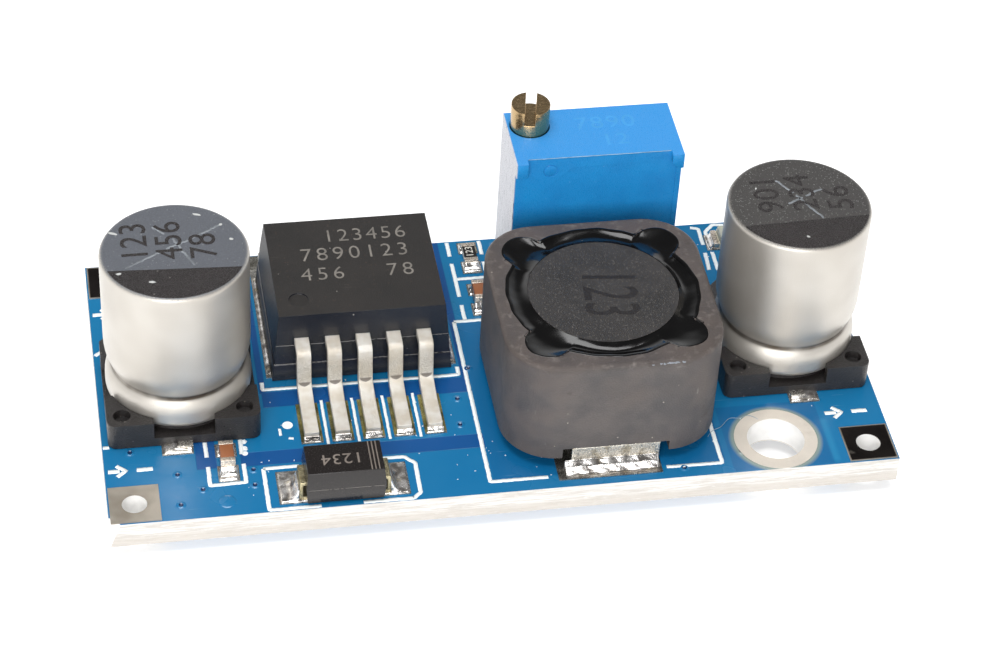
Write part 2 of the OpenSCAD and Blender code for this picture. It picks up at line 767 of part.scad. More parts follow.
module trimmer_housing()
{
    w = trim_wall;
    y1 = trim_back - 0.45;
    color([0.12, 0.47, 0.8])
    {
        difference()
        {
            union()
            {
                plate(trim_x, trim_y, trim_x + trim_w, trim_back, trim_z0, trim_z1);
                for (x = [trim_x, trim_x + trim_w - lug_w])
                    plate(x, trim_y - lug_out, x + lug_w, trim_y + 0.1, trim_z1 - lug_h, trim_z1);
                for (x = [trim_x, trim_x + trim_w - 0.7])
                    for (y = [trim_y, trim_back - 0.7])
                        plate(x, y, x + 0.7, y + 0.7, top, trim_z0 + 0.01);
            }
            plate(trim_x + w, trim_y + w, trim_x + trim_w - w, y1, top - 1, trim_in_top);
            screw_hole();
            translate([0, trim_y + 0.05, 0]) rotate([90, 0, 0]) linear_extrude(1) polygon([
                [trim_x + 0.32, trim_z0 + 0.4], [trim_x + trim_w - 0.3, trim_z0 + 0.4],
                [trim_x + trim_w - 0.3, trim_z1 - 0.99], [trim_x + trim_w - 0.95, trim_z1 - 0.2],
                [trim_x + trim_w - 1.5, trim_z1 - 0.68], [trim_x + 3.23, trim_z1 - 0.77],
                [trim_x + 0.32, trim_z1 - 3.69]]);
            translate([trim_x + 2.03, trim_y + 0.05, trim_z1 - 0.9]) rotate([90, 0, 0])
                ring(0.36, 0.42, 1, $fn = 32);
        }
        translate([wheel_x, y1 + 0.05, wheel_z]) rotate([90, 0, 0])
            cylinder(r = 0.5, h = y1 + 0.05 - screw_y + 0.9, $fn = 32);
    }
}

module trimmer_screw()
{
    head_z = trim_in_top + 0.47;
    worm_z = potting_z + 0.5;
    worm_l = trim_in_top - 0.4 - worm_z;
    color([0.72, 0.57, 0.3]) translate([screw_x, screw_y, 0])
    {
        difference()
        {
            union()
            {
                translate([0, 0, head_z]) cylinder(r = screw_r, h = trim_z1 + screw_out - head_z, $fn = 64);
                translate([0, 0, trim_in_top - 0.1]) cylinder(r = 0.65, h = 1);
                translate([0, 0, trim_in_top - 0.42]) cylinder(r = worm_pitch_r + thread_e, h = 0.36);
                translate([0, 0, potting_z - 0.35]) cylinder(r = 0.4, h = 1, $fn = 32);
            }
            translate([0, 0, trim_z1 + screw_out]) rotate([0, 0, slot_turn])
                cube([slot_w, 2 * screw_d, 2 * slot_depth], center = true);
        }
        translate([0, 0, wheel_z]) worm(wheel_z - worm_z, worm_l);
    }
}

// one start thread; its crest faces +X at height zero
module worm(below, l)
{
    turn = 360 / worm_lead;
    translate([0, 0, -below]) rotate([0, 0, -below * turn])
        linear_extrude(l, twist = -l * turn, slices = floor(l / worm_lead * 12), $fn = 0)
            polygon([for (a = [0:30:330]) [thread_e + worm_pitch_r * cos(a), worm_pitch_r * sin(a)]]);
}

module trimmer_wheel()
{
    n = wheel_teeth;
    k = 8 * n;
    y0 = screw_y - wheel_t / 2;
    color([0.9, 0.88, 0.8]) translate([wheel_x, y0 + wheel_t, wheel_z]) rotate([90, 0, 0]) difference()
    {
        union()
        {
            linear_extrude(wheel_t) polygon([for (i = [0:k - 1])
                (wheel_r + 0.12 * cos(360 * i * n / k)) * [cos(360 * i / k), sin(360 * i / k)]]);
        }
        translate([0, 0, -1]) cylinder(r = 0.5 + trim_fit, h = 4, $fn = 32);
    }
}

module trimmer_wiper()
{
    y0 = screw_y - wheel_t / 2;
    gap = y0 - (trim_y + trim_wall + element_t) - 0.06;
    color([0.85, 0.72, 0.4]) translate([wheel_x, y0, wheel_z]) rotate([90, 0, 0])
    {
        linear_extrude(0.15) difference()
        {
            union()
            {
                circle(1.1, $fn = 48);
                translate([-0.35, 0]) square([0.7, 2.6]);
            }
            circle(0.5 + trim_fit, $fn = 32);
        }
        translate([-0.35, 2.3, 0.1]) cube([0.7, 0.3, gap - 0.1]);
    }
}

module trimmer_element()
{
    y0 = trim_y + trim_wall;
    color([0.93, 0.92, 0.88])
        plate(trim_x + 1.4, y0, trim_x + trim_w - 0.7, y0 + element_t, potting_z, trim_in_top - 0.2);
}

module trimmer_pins()
{
    color([0.82, 0.8, 0.75]) pin_places() translate([0, 0, -pin_out])
        cylinder(r = pin_d / 2, h = potting_z + 0.6 + pin_out, $fn = 32);
}

module trimmer_seal()
{
    color([0.15, 0.15, 0.15]) translate([screw_x, screw_y, trim_in_top + 0.22]) rotate_extrude()
        translate([0.9, 0]) circle(0.24, $fn = 24);
}

module trimmer_potting()
{
    w = trim_wall;
    color([0.1, 0.3, 0.55]) difference()
    {
        plate(trim_x + w, trim_y + w, trim_x + trim_w - w, trim_back - 0.45, trim_z0 + 0.1, potting_z);
        trimmer_pins();
        translate([screw_x, screw_y, potting_z - 0.4]) cylinder(r = 0.4 + trim_fit, h = 1, $fn = 32);
    }
}

// ---------- diode ----------
module diode_body()
{
    l = diode_l / 2;
    w = diode_w / 2;
    m = diode_h / 2 + 0.05;
    color([0.1, 0.1, 0.1]) translate([diode_x, diode_y, top]) difference()
    {
        crossed(diode_l, diode_w)
        {
            polygon([[-l + 0.1, 0.1], [l - 0.1, 0.1], [l, m], [l - 0.1, diode_h], [0.1 - l, diode_h], [-l, m]]);
            polygon([[0.15 - w, 0.1], [w - 0.15, 0.1], [w, m], [w - 0.15, diode_h], [0.15 - w, diode_h], [-w, m]]);
        }
        diode_inner();
    }
}

module diode_lead_shape()
{
    l = diode_l / 2;
    t = diode_lead_t;
    m = diode_h / 2 + 0.05 - t / 2;
    x = l + 0.1;
    polygon([[0.9, m], [x, m], [x, copper_t + t], [x - 0.9, copper_t + t], [x - 0.9, copper_t],
        [x + t, copper_t], [x + t, m + t - 0.06], [x + t - 0.06, m + t], [0.9, m + t]]);
}

module diode_inner()
{
    for (s = [0, 1]) mirror([s, 0, 0]) translate([0, diode_lead_w / 2, 0]) rotate([90, 0, 0])
        linear_extrude(diode_lead_w) diode_lead_shape();
    diode_chip();
}

module diode_chip()
{
    translate([-0.9, -0.5, diode_h / 2 + 0.05 - 0.15]) cube([1.8, 1, 0.3]);
}

module diode_terminals()
{
    color([0.8, 0.79, 0.76]) translate([diode_x, diode_y, top]) difference()
    {
        for (s = [0, 1]) mirror([s, 0, 0]) translate([0, diode_lead_w / 2, 0]) rotate([90, 0, 0])
            linear_extrude(diode_lead_w) diode_lead_shape();
    }
}

module diode_die()
{
    color([0.5, 0.5, 0.52]) translate([diode_x, diode_y, top]) diode_chip();
}

// ---------- chip parts ----------
module chip_body(place, l, w, h, turn)
{
    s = chip_skin;
    translate([place[0], place[1], seat]) rotate([0, 0, turn])
        translate([s - l / 2, s - w / 2, s]) cube([l - 2 * s, w - 2 * s, h - 2 * s]);
}

module chip_ends(place, l, w, h, turn)
{
    color([0.84, 0.83, 0.8]) difference()
    {
        translate([place[0], place[1], seat]) rotate([0, 0, turn]) for (x = [-l / 2, l / 2 - chip_end])
            translate([x, -w / 2, 0]) cube([chip_end, w, h]);
        chip_body(place, l, w, h, turn);
    }
}

module chip_coat(place, l, w, h, turn)
{
    color([0.08, 0.08, 0.08]) translate([place[0], place[1], seat + h - chip_skin]) rotate([0, 0, turn])
        translate([chip_end - l / 2, chip_skin - w / 2, 0]) cube([l - 2 * chip_end, w - 2 * chip_skin, 0.03]);
}

module front_chip_cap_body() { color([0.7, 0.44, 0.24]) chip_body(front_cap, chip_l, chip_w, chip_cap_h, 90); }
module front_chip_cap_ends() { chip_ends(front_cap, chip_l, chip_w, chip_cap_h, 90); }
module rear_chip_cap_body() { color([0.7, 0.44, 0.24]) chip_body(rear_cap, chip_l, chip_w, chip_cap_h, 90); }
module rear_chip_cap_ends() { chip_ends(rear_cap, chip_l, chip_w, chip_cap_h, 90); }
module sense_resistor_body() { color([0.9, 0.9, 0.88]) chip_body(sense_res, chip_l, chip_w, chip_res_h, 90); }
module sense_resistor_coat() { chip_coat(sense_res, chip_l, chip_w, chip_res_h, 90); }
module sense_resistor_ends() { chip_ends(sense_res, chip_l, chip_w, chip_res_h, 90); }
module lamp_resistor_body() { color([0.9, 0.9, 0.88]) chip_body(lamp_res, chip_l, chip_w, chip_res_h, 0); }
module lamp_resistor_coat() { chip_coat(lamp_res, chip_l, chip_w, chip_res_h, 0); }
module lamp_resistor_ends() { chip_ends(lamp_res, chip_l, chip_w, chip_res_h, 0); }
module lamp_base() { color([0.86, 0.84, 0.76]) chip_body(lamp_place, lamp_l, lamp_w, lamp_base_h, 0); }
module lamp_ends() { chip_ends(lamp_place, lamp_l, lamp_w, lamp_base_h, 0); }

module lamp_lens()
{
    l = lamp_l / 2 - chip_end - 0.02;
    w = lamp_w / 2 - chip_skin;
    color([0.8, 0.85, 0.7, 0.8]) translate([lamp_place[0], lamp_place[1], seat + lamp_base_h - chip_skin])
        crossed(lamp_l, lamp_l)
        {
            polygon([[-l, 0], [l, 0], [l - 0.08, lens_h], [0.08 - l, lens_h]]);
            polygon([[-w, 0], [w, 0], [w - 0.07, lens_h], [0.07 - w, lens_h]]);
        }
}

circuit_board();
wire_pads();
hole_rings();
part_lands();
pin_lands();
solder_joints();
input_cap_can();
input_cap_base();
input_cap_terminals();
input_cap_bung();
input_cap_winding();
output_cap_can();
output_cap_base();
output_cap_terminals();
output_cap_bung();
output_cap_winding();
regulator_body();
regulator_slug();
regulator_leads();
regulator_die();
inductor_shield();
inductor_drum();
inductor_winding();
inductor_terminals();
inductor_resin();
trimmer_housing();
trimmer_screw();
trimmer_wheel();
trimmer_wiper();
trimmer_element();
trimmer_pins();
trimmer_seal();
trimmer_potting();
diode_body();
diode_terminals();
diode_die();
front_chip_cap_body();
front_chip_cap_ends();
rear_chip_cap_body();
rear_chip_cap_ends();
sense_resistor_body();
sense_resistor_coat();
sense_resistor_ends();
lamp_resistor_body();
lamp_resistor_coat();
lamp_resistor_ends();
lamp_base();
lamp_lens();
lamp_ends();
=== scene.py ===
"""Finish, markings, lights and camera for a buck converter module, laid out as a Blender add-on."""

import json
import math
import random

import bmesh
import bpy
from bpy.props import FloatProperty, FloatVectorProperty, IntProperty, PointerProperty
from mathutils import Matrix, Vector


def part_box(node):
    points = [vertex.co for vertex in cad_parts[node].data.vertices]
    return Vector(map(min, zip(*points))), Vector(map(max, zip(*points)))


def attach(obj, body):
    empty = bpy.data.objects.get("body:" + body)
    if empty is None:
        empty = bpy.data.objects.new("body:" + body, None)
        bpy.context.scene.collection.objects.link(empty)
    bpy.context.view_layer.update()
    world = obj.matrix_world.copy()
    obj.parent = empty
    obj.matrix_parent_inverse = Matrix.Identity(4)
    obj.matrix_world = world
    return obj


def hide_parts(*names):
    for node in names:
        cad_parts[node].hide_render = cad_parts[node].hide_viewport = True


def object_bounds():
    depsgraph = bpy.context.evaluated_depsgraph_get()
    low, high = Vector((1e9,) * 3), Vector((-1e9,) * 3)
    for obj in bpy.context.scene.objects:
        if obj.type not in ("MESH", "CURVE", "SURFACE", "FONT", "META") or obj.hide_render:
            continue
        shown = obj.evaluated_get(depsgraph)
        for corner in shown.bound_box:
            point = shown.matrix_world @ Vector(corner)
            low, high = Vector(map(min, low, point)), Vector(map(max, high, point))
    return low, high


bl_info = {
    "name": "Buck Converter Module",
    "version": (1, 0, 0),
    "blender": (4, 5, 0),
    "location": "View3D > Sidebar > Converter",
    "description": "Dresses the converter board: cans, regulator, inductor, trimmer, solder and print",
    "category": "Object",
}

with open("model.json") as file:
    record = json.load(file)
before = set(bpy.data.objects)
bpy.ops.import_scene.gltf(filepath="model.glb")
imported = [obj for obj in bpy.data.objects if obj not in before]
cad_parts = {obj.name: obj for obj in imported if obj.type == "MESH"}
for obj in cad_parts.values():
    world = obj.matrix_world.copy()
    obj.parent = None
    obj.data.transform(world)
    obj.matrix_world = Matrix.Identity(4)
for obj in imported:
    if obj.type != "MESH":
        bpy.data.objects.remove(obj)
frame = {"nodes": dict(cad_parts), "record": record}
CAD_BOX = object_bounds()
MM = 0.001


# ---------------------------------------------------------------- small helpers
def tone(r, g, b):
    """A colour given in 0 to 255 screen values, as linear RGBA."""
    def one(v):
        v /= 255
        return v / 12.92 if v <= 0.04045 else ((v + 0.055) / 1.055) ** 2.4
    return (one(r), one(g), one(b), 1.0)


def box_mm(node):
    lo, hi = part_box(node)
    return [v / MM for v in lo], [v / MM for v in hi]


BOARD_LO, BOARD_HI = box_mm("circuit_board")
TOP = BOARD_HI[2]
LAND = box_mm("part_lands")[1][2]


def middle(node):
    lo, hi = box_mm(node)
    return (lo[0] + hi[0]) / 2, (lo[1] + hi[1]) / 2, hi[2]


class Graph:
    """Wires nodes in one tree: inputs are values or the sockets that feed them."""

    def __init__(self, tree):
        self.tree = tree

    def add(self, kind, inputs=None, out=0, **settings):
        node = self.tree.nodes.new(kind)
        for key, value in settings.items():
            setattr(node, key, value)
        for key, value in (inputs or {}).items():
            if isinstance(value, bpy.types.NodeSocket):
                self.tree.links.new(value, node.inputs[key])
            else:
                node.inputs[key].default_value = value
        return node.outputs[out]

    def math(self, operation, a, b=0.0, c=0.0, clamp=False):
        return self.add("ShaderNodeMath", {0: a, 1: b, 2: c}, operation=operation, use_clamp=clamp)

    def mix(self, share, a, b):
        return self.add("ShaderNodeMix", {0: share, 6: a, 7: b}, out=2, data_type="RGBA")

    def spread(self, value, low, high, to_low=0.0, to_high=1.0):
        return self.add("ShaderNodeMapRange", {0: value, 1: low, 2: high, 3: to_low, 4: to_high})

    def place(self, vector, at=(0, 0, 0), scale=(1, 1, 1), turn=0.0):
        """Centres, turns and then stretches a pattern."""
        moved = self.add("ShaderNodeVectorMath", {0: vector, 1: at}, operation="SUBTRACT")
        return self.add("ShaderNodeMapping", {"Vector": moved, "Rotation": (0, 0, turn), "Scale": scale})

    def noise(self, vector, scale, detail=3.0, rough=0.55):
        return self.add("ShaderNodeTexNoise", {"Vector": vector, "Scale": scale, "Detail": detail,
                                               "Roughness": rough})

    def split(self, vector, axis):
        return self.add("ShaderNodeSeparateXYZ", {0: vector}, out=axis)

    def group(self, tree, out, **inputs):
        node = self.tree.nodes.new("ShaderNodeGroup")
        node.node_tree = tree
        for key, value in inputs.items():
            key = key.replace("_", " ")
            if isinstance(value, bpy.types.NodeSocket):
                self.tree.links.new(value, node.inputs[key])
            else:
                node.inputs[key].default_value = value
        return node.outputs[out]


def effect(name, inputs, outputs, build):
    """One shared look as a node group; it only puts out masks and values."""
    if name in bpy.data.node_groups:
        return bpy.data.node_groups[name]
    tree = bpy.data.node_groups.new(name, "ShaderNodeTree")
    for label, kind, default in inputs:
        socket = tree.interface.new_socket(label, in_out="INPUT", socket_type="NodeSocket" + kind)
        if default is not None:
            socket.default_value = default
    for label in outputs:
        tree.interface.new_socket(label, in_out="OUTPUT", socket_type="NodeSocketFloat")
    g = Graph(tree)
    source = tree.nodes.new("NodeGroupInput")
    sink = tree.nodes.new("NodeGroupOutput")
    results = build(g, {s.name: s for s in source.outputs if s.name})
    for label, socket in zip(outputs, results):
        tree.links.new(socket, sink.inputs[label])
    return tree


def grain_effect():
    """Fine uneven surface: a wide mottle and a fine grain."""
    def build(g, s):
        wide = g.noise(s["Vector"], g.math("MULTIPLY", s["Scale"], 0.12), 2.0)
        fine = g.noise(s["Vector"], s["Scale"], 4.0, 0.65)
        return [g.spread(wide, 0.3, 0.7), g.spread(fine, 0.3, 0.7)]
    return effect("Uneven grain", [("Vector", "Vector", None), ("Scale", "Float", 4.0)],
                  ["Mottle", "Grain"], build)


def speck_effect():
    """Scattered small specks, each with its own size."""
    def build(g, s):
        cell = g.tree.nodes.new("ShaderNodeTexVoronoi")
        g.tree.links.new(s["Vector"], cell.inputs["Vector"])
        g.tree.links.new(s["Scale"], cell.inputs["Scale"])
        chance = g.split(cell.outputs["Color"], 0)
        size = g.math("MULTIPLY", s["Size"], g.split(cell.outputs["Color"], 1))
        near = g.math("LESS_THAN", cell.outputs["Distance"], size)
        kept = g.math("LESS_THAN", chance, s["Share"])
        return [g.math("MULTIPLY", near, kept)]
    return effect("Specks", [("Vector", "Vector", None), ("Scale", "Float", 3.0),
                             ("Size", "Float", 0.2), ("Share", "Float", 0.3)], ["Mask"], build)


def scuff_effect():
    """Thin scratches that run mostly one way, broken by a wider noise."""
    def build(g, s):
        line = g.add("ShaderNodeMapping", {"Vector": s["Vector"], "Rotation": (0.2, 0.1, 0.6),
                                           "Scale": (0.35, 7.0, 1.0)})
        thin = g.spread(g.noise(line, s["Scale"], 3.0, 0.7), 0.66, 0.72)
        patch = g.spread(g.noise(s["Vector"], g.math("MULTIPLY", s["Scale"], 0.35), 2.0), 0.5, 0.6)
        return [g.math("MULTIPLY", thin, patch)]
    return effect("Scuffs", [("Vector", "Vector", None), ("Scale", "Float", 1.0)], ["Mask"], build)


def new_material(name):
    material = bpy.data.materials.new(name)
    material.use_nodes = True
    material.node_tree.nodes.clear()
    g = Graph(material.node_tree)
    shader = material.node_tree.nodes.new("ShaderNodeBsdfPrincipled")
    output = material.node_tree.nodes.new("ShaderNodeOutputMaterial")
    material.node_tree.links.new(shader.outputs[0], output.inputs[0])
    place = g.add("ShaderNodeTexCoord", out=3)
    vector = g.add("ShaderNodeVectorMath", {0: place, "Scale": 1 / MM}, operation="SCALE")
    return material, g, shader, vector


def feed(g, shader, **sockets):
    """Sets or links the shader's own sockets; the names have _ for a space."""
    for key, value in sockets.items():
        socket = shader.inputs[key.replace("_", " ")]
        if isinstance(value, bpy.types.NodeSocket):
            g.tree.links.new(value, socket)
        else:
            socket.default_value = value


def bumped(g, height, depth_mm):
    return g.add("ShaderNodeBump", {"Strength": 1.0, "Distance": depth_mm * MM, "Height": height})


def plain_finish(name, colour, rough, metal=0.0, scale=5.0, shade=0.85, bump=0.004, coat=0.0, dust=0.0,
                 dust_tone=(225, 225, 220), rough_change=0.1, scuff=0.0):
    """A finish with mottle, fine grain, dust and scuffs over one colour."""
    material, g, shader, v = new_material(name)
    mottle = g.group(grain_effect(), "Mottle", Vector=v, Scale=scale)
    grain = g.group(grain_effect(), "Grain", Vector=v, Scale=scale)
    dark = tuple(c * shade for c in colour[:3]) + (1.0,)
    base = g.mix(g.math("MULTIPLY_ADD", grain, 0.4, g.math("MULTIPLY", mottle, 0.6)), dark, colour)
    if scuff:
        marks = g.group(scuff_effect(), "Mask", Vector=v, Scale=1.1)
        base = g.mix(g.math("MULTIPLY", marks, scuff), base, tone(190, 188, 184))
    if dust:
        specks = g.group(speck_effect(), "Mask", Vector=v, Scale=3.2, Size=0.16, Share=dust)
        base = g.mix(g.math("MULTIPLY", specks, 0.75), base, tone(*dust_tone))
    feed(g, shader, Base_Color=base, Metallic=metal,
         Roughness=g.spread(grain, 0.0, 1.0, max(0.02, rough - rough_change), rough + rough_change),
         Normal=bumped(g, grain, bump), Coat_Weight=coat, Coat_Roughness=0.08)
    return material


def give(node, material):
    """Puts a finish on a CAD node's own material slots."""
    mesh = frame["nodes"][node].data
    mesh.materials.clear()
    mesh.materials.append(material)


# ---------------------------------------------------------------- mesh helpers
def mesh_piece(name, bm, material, body="module", replaces=(), smooth=None):
    """Turns a bmesh in millimetres into a finished piece with its place in its mesh."""
    bmesh.ops.scale(bm, vec=(MM, MM, MM), verts=bm.verts)
    mesh = bpy.data.meshes.new(name)
    bm.to_mesh(mesh)
    bm.free()
    return settle(name, mesh, material, body, replaces, smooth)


def settle(name, mesh, material, body="module", replaces=(), smooth=None):
    mesh.materials.clear()
    mesh.materials.append(material)
    obj = bpy.data.objects.new(name, mesh)
    bpy.context.scene.collection.objects.link(obj)
    if smooth is not None:
        mesh.shade_smooth()
        mesh.set_sharp_from_angle(angle=math.radians(smooth))
    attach(obj, body)
    if replaces:
        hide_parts(*replaces)
    return obj


def skin(node, material, width, body="module", segments=3, limit=35, smooth=40, flatten=0.4):
    """A copy of a CAD node with its sharp edges rounded, in place of that node."""
    source = frame["nodes"][node]
    bm = bmesh.new()
    bm.from_mesh(source.data)
    bmesh.ops.remove_doubles(bm, verts=bm.verts, dist=0.000002)
    if flatten:
        bmesh.ops.dissolve_limit(bm, angle_limit=math.radians(flatten), verts=bm.verts, edges=bm.edges)
    mesh = bpy.data.meshes.new(node + "_finish")
    bm.to_mesh(mesh)
    bm.free()
    obj = bpy.data.objects.new(node + "_finish", mesh)
    bpy.context.scene.collection.objects.link(obj)
    if width:
        mesh.shade_smooth()
        bevel = obj.modifiers.new("Rounding", "BEVEL")
        bevel.width = width * MM
        bevel.segments = segments
        bevel.limit_method = "ANGLE"
        bevel.angle_limit = math.radians(limit)
        bevel.use_clamp_overlap = True
        bevel.miter_outer = "MITER_ARC"
        flat = obj.modifiers.new("Flat faces stay flat", "WEIGHTED_NORMAL")
        flat.keep_sharp = True
        mesh = bake(obj)
        smooth = None
    else:
        mesh = obj.data.copy()
        bpy.data.objects.remove(obj)
    return settle(node + "_finish", mesh, material, body, (node,), smooth)


def bake(obj):
    """The object's evaluated mesh; the object itself is removed."""
    graph = bpy.context.evaluated_depsgraph_get()
    mesh = bpy.data.meshes.new_from_object(obj.evaluated_get(graph))
    bpy.data.objects.remove(obj)
    return mesh


def revolve(profile, centre, steps=160):
    """A closed turned body: profile points are (radius, height), from the axis and back to it."""
    bm = bmesh.new()
    rings = []
    for r, z in profile:
        if r < 1e-6:
            rings.append([bm.verts.new((centre[0], centre[1], z))])
        else:
            rings.append([bm.verts.new((centre[0] + r * math.cos(2 * math.pi * i / steps),
                                        centre[1] + r * math.sin(2 * math.pi * i / steps), z))
                          for i in range(steps)])
    for a, b in zip(rings, rings[1:]):
        for i in range(steps):
            j = (i + 1) % steps
            if len(a) == 1:
                bm.faces.new((a[0], b[i], b[j]))
            elif len(b) == 1:
                bm.faces.new((a[j], a[i], b[0]))
            else:
                bm.faces.new((a[j], a[i], b[i], b[j]))
    bmesh.ops.recalc_face_normals(bm, faces=bm.faces)
    return bm


def slab(bm, outline, z0, z1):
    """Adds an upright prism over an outline."""
    low = [bm.verts.new((x, y, z0)) for x, y in outline]
    high = [bm.verts.new((x, y, z1)) for x, y in outline]
    n = len(outline)
    faces = [bm.faces.new(list(reversed(low))), bm.faces.new(high)]
    faces += [bm.faces.new((low[i], low[(i + 1) % n], high[(i + 1) % n], high[i])) for i in range(n)]
    bmesh.ops.recalc_face_normals(bm, faces=faces)


def disc(centre, r, steps=48, start=0.0, sweep=360.0):
    return [(centre[0] + r * math.cos(math.radians(start + sweep * i / steps)),
             centre[1] + r * math.sin(math.radians(start + sweep * i / steps)))
            for i in range(steps + (0 if sweep == 360.0 else 1))]


def digits(text, size, at, turn, z, deep, stretch=1.0, gap=1.0, bold=0.0):
    """Plain digits as a bmesh in millimetres, lying at height z and turned about Z in degrees."""
    curve = bpy.data.curves.new("digits", "FONT")
    curve.body = text
    curve.size = size
    curve.extrude = deep / 2
    curve.offset = bold
    curve.align_x = "CENTER"
    curve.align_y = "CENTER"
    curve.space_character = gap
    curve.resolution_u = 4
    obj = bpy.data.objects.new("digits", curve)
    bpy.context.scene.collection.objects.link(obj)
    mesh = bake(obj)
    bpy.data.curves.remove(curve)
    bm = bmesh.new()
    bm.from_mesh(mesh)
    bpy.data.meshes.remove(mesh)
    bmesh.ops.remove_doubles(bm, verts=bm.verts, dist=1e-5)
    place = (Matrix.Translation((at[0], at[1], z + deep / 2)) @ Matrix.Rotation(math.radians(turn), 4, "Z")
             @ Matrix.Diagonal((stretch, 1, 1, 1)))
    bm.transform(place)
    bmesh.ops.recalc_face_normals(bm, faces=bm.faces)
    return bm


def joined(parts):
    whole = bmesh.new()
    for part in parts:
        mesh = bpy.data.meshes.new("part")
        part.to_mesh(mesh)
        part.free()
        whole.from_mesh(mesh)
        bpy.data.meshes.remove(mesh)
    return whole


# ---------------------------------------------------------------- geometry node trees
def tree_start(name, inputs):
    tree = bpy.data.node_groups.new(name, "GeometryNodeTree")
    tree.interface.new_socket("Geometry", in_out="INPUT", socket_type="NodeSocketGeometry")
    for label, kind, default in inputs:
        socket = tree.interface.new_socket(label, in_out="INPUT", socket_type="NodeSocket" + kind)
        if default is not None:
            socket.default_value = default
    tree.interface.new_socket("Geometry", in_out="OUTPUT", socket_type="NodeSocketGeometry")
    g = Graph(tree)
    source = tree.nodes.new("NodeGroupInput")
    return tree, g, {s.name: s for s in source.outputs if s.name}


def tree_end(g, geometry, material):
    """Every tree ends in Realize Instances and Set Material."""
    real = g.add("GeometryNodeRealizeInstances", {"Geometry": geometry})
    done = g.add("GeometryNodeSetMaterial", {"Geometry": real, "Material": material})
    sink = g.tree.nodes.new("NodeGroupOutput")
    g.tree.links.new(done, sink.inputs[0])


def stroke_tree():
    """A printed line: a flat ribbon along each curve, with a slightly ragged edge."""
    name = "Printed stroke"
    if name in bpy.data.node_groups:
        return bpy.data.node_groups[name]
    tree, g, s = tree_start(name, [("Width", "Float", 0.2 * MM), ("Thickness", "Float", 0.012 * MM),
                                   ("Ragged", "Float", 0.012 * MM), ("Seed", "Int", 3),
                                   ("Material", "Material", None)])
    fine = g.add("GeometryNodeResampleCurve", {"Curve": s["Geometry"], "Length": 0.1 * MM}, mode="LENGTH")
    shake = g.add("FunctionNodeRandomValue", {"Min": (-1, -1, 0), "Max": (1, 1, 0), "Seed": s["Seed"]},
                  data_type="FLOAT_VECTOR")
    shift = g.add("ShaderNodeVectorMath", {0: shake, "Scale": s["Ragged"]}, operation="SCALE")
    moved = g.add("GeometryNodeSetPosition", {"Geometry": fine, "Offset": shift})
    upright = g.add("GeometryNodeSetCurveNormal", {"Curve": moved}, mode="Z_UP")
    section = g.add("GeometryNodeCurvePrimitiveQuadrilateral", {"Width": s["Width"], "Height": s["Thickness"]})
    ribbon = g.add("GeometryNodeCurveToMesh", {"Curve": upright, "Profile Curve": section, "Fill Caps": True})
    tree_end(g, ribbon, s["Material"])
    return tree


def dust_tree():
    """Small flat specks scattered over a grid of its own."""
    name = "Scattered specks"
    if name in bpy.data.node_groups:
        return bpy.data.node_groups[name]
    tree, g, s = tree_start(name, [("Centre", "Vector", (0, 0, 0)), ("Size X", "Float", 0.01),
                                   ("Size Y", "Float", 0.01), ("Count", "Float", 1e5),
                                   ("Speck", "Float", 0.05 * MM), ("Seed", "Int", 1),
                                   ("Material", "Material", None)])
    grid = g.add("GeometryNodeMeshGrid", {"Size X": s["Size X"], "Size Y": s["Size Y"]})
    points = g.add("GeometryNodeDistributePointsOnFaces",
                   {"Mesh": grid, "Density": s["Count"], "Seed": s["Seed"]})
    ball = g.add("GeometryNodeMeshIcoSphere", {"Radius": s["Speck"], "Subdivisions": 1})
    scale = g.add("FunctionNodeRandomValue", {"Min": (0.3, 0.3, 0.25), "Max": (1.3, 0.9, 0.4), "Seed": s["Seed"]},
                  data_type="FLOAT_VECTOR")
    turn = g.add("FunctionNodeRandomValue", {"Min": (0, 0, 0), "Max": (0, 0, 6.28), "Seed": s["Seed"]},
                 data_type="FLOAT_VECTOR")
    copies = g.add("GeometryNodeInstanceOnPoints", {"Points": points, "Instance": ball, "Scale": scale,
                                                    "Rotation": turn})
    moved = g.add("GeometryNodeTransform", {"Geometry": copies, "Translation": s["Centre"]})
    tree_end(g, moved, s["Material"])
    return tree


def grown(tree, data, values):
    """Runs a geometry node tree on the data and returns a plain mesh."""
    obj = bpy.data.objects.new("grown", data)
    bpy.context.scene.collection.objects.link(obj)
    modifier = obj.modifiers.new("Nodes", "NODES")
    modifier.node_group = tree
    for item in tree.interface.items_tree:
        if item.item_type == "SOCKET" and item.in_out == "INPUT" and item.name in values:
            modifier[item.identifier] = values[item.name]
    return bake(obj)


def strokes(name, lines, width, z, material, ragged=0.012, thick=0.012, body="module", seed=3):
    """Printed lines through points in millimetres, at height z."""
    curve = bpy.data.curves.new(name, "CURVE")
    curve.dimensions = "3D"
    for line in lines:
        spline = curve.splines.new("POLY")
        spline.points.add(len(line) - 1)
        for point, p in zip(spline.points, line):
            point.co = (p[0] * MM, p[1] * MM, (z if len(p) < 3 else p[2]) * MM, 1)
    mesh = grown(stroke_tree(), curve, {"Width": width * MM, "Thickness": thick * MM, "Ragged": ragged * MM,
                                        "Seed": seed, "Material": material})
    bpy.data.curves.remove(curve)
    return settle(name, mesh, material, body)


def specks(name, centre, size, count, speck, seed, material, slot, body="module"):
    """About so many specks over a rectangle."""
    mesh = grown(dust_tree(), bpy.data.meshes.new("none"),
                 {"Centre": [c * MM for c in centre], "Size X": size[0] * MM, "Size Y": size[1] * MM,
                  "Count": count / (size[0] * size[1] * MM * MM), "Speck": speck * MM, "Seed": seed,
                  "Material": material})
    return settle(name, mesh, material, body)


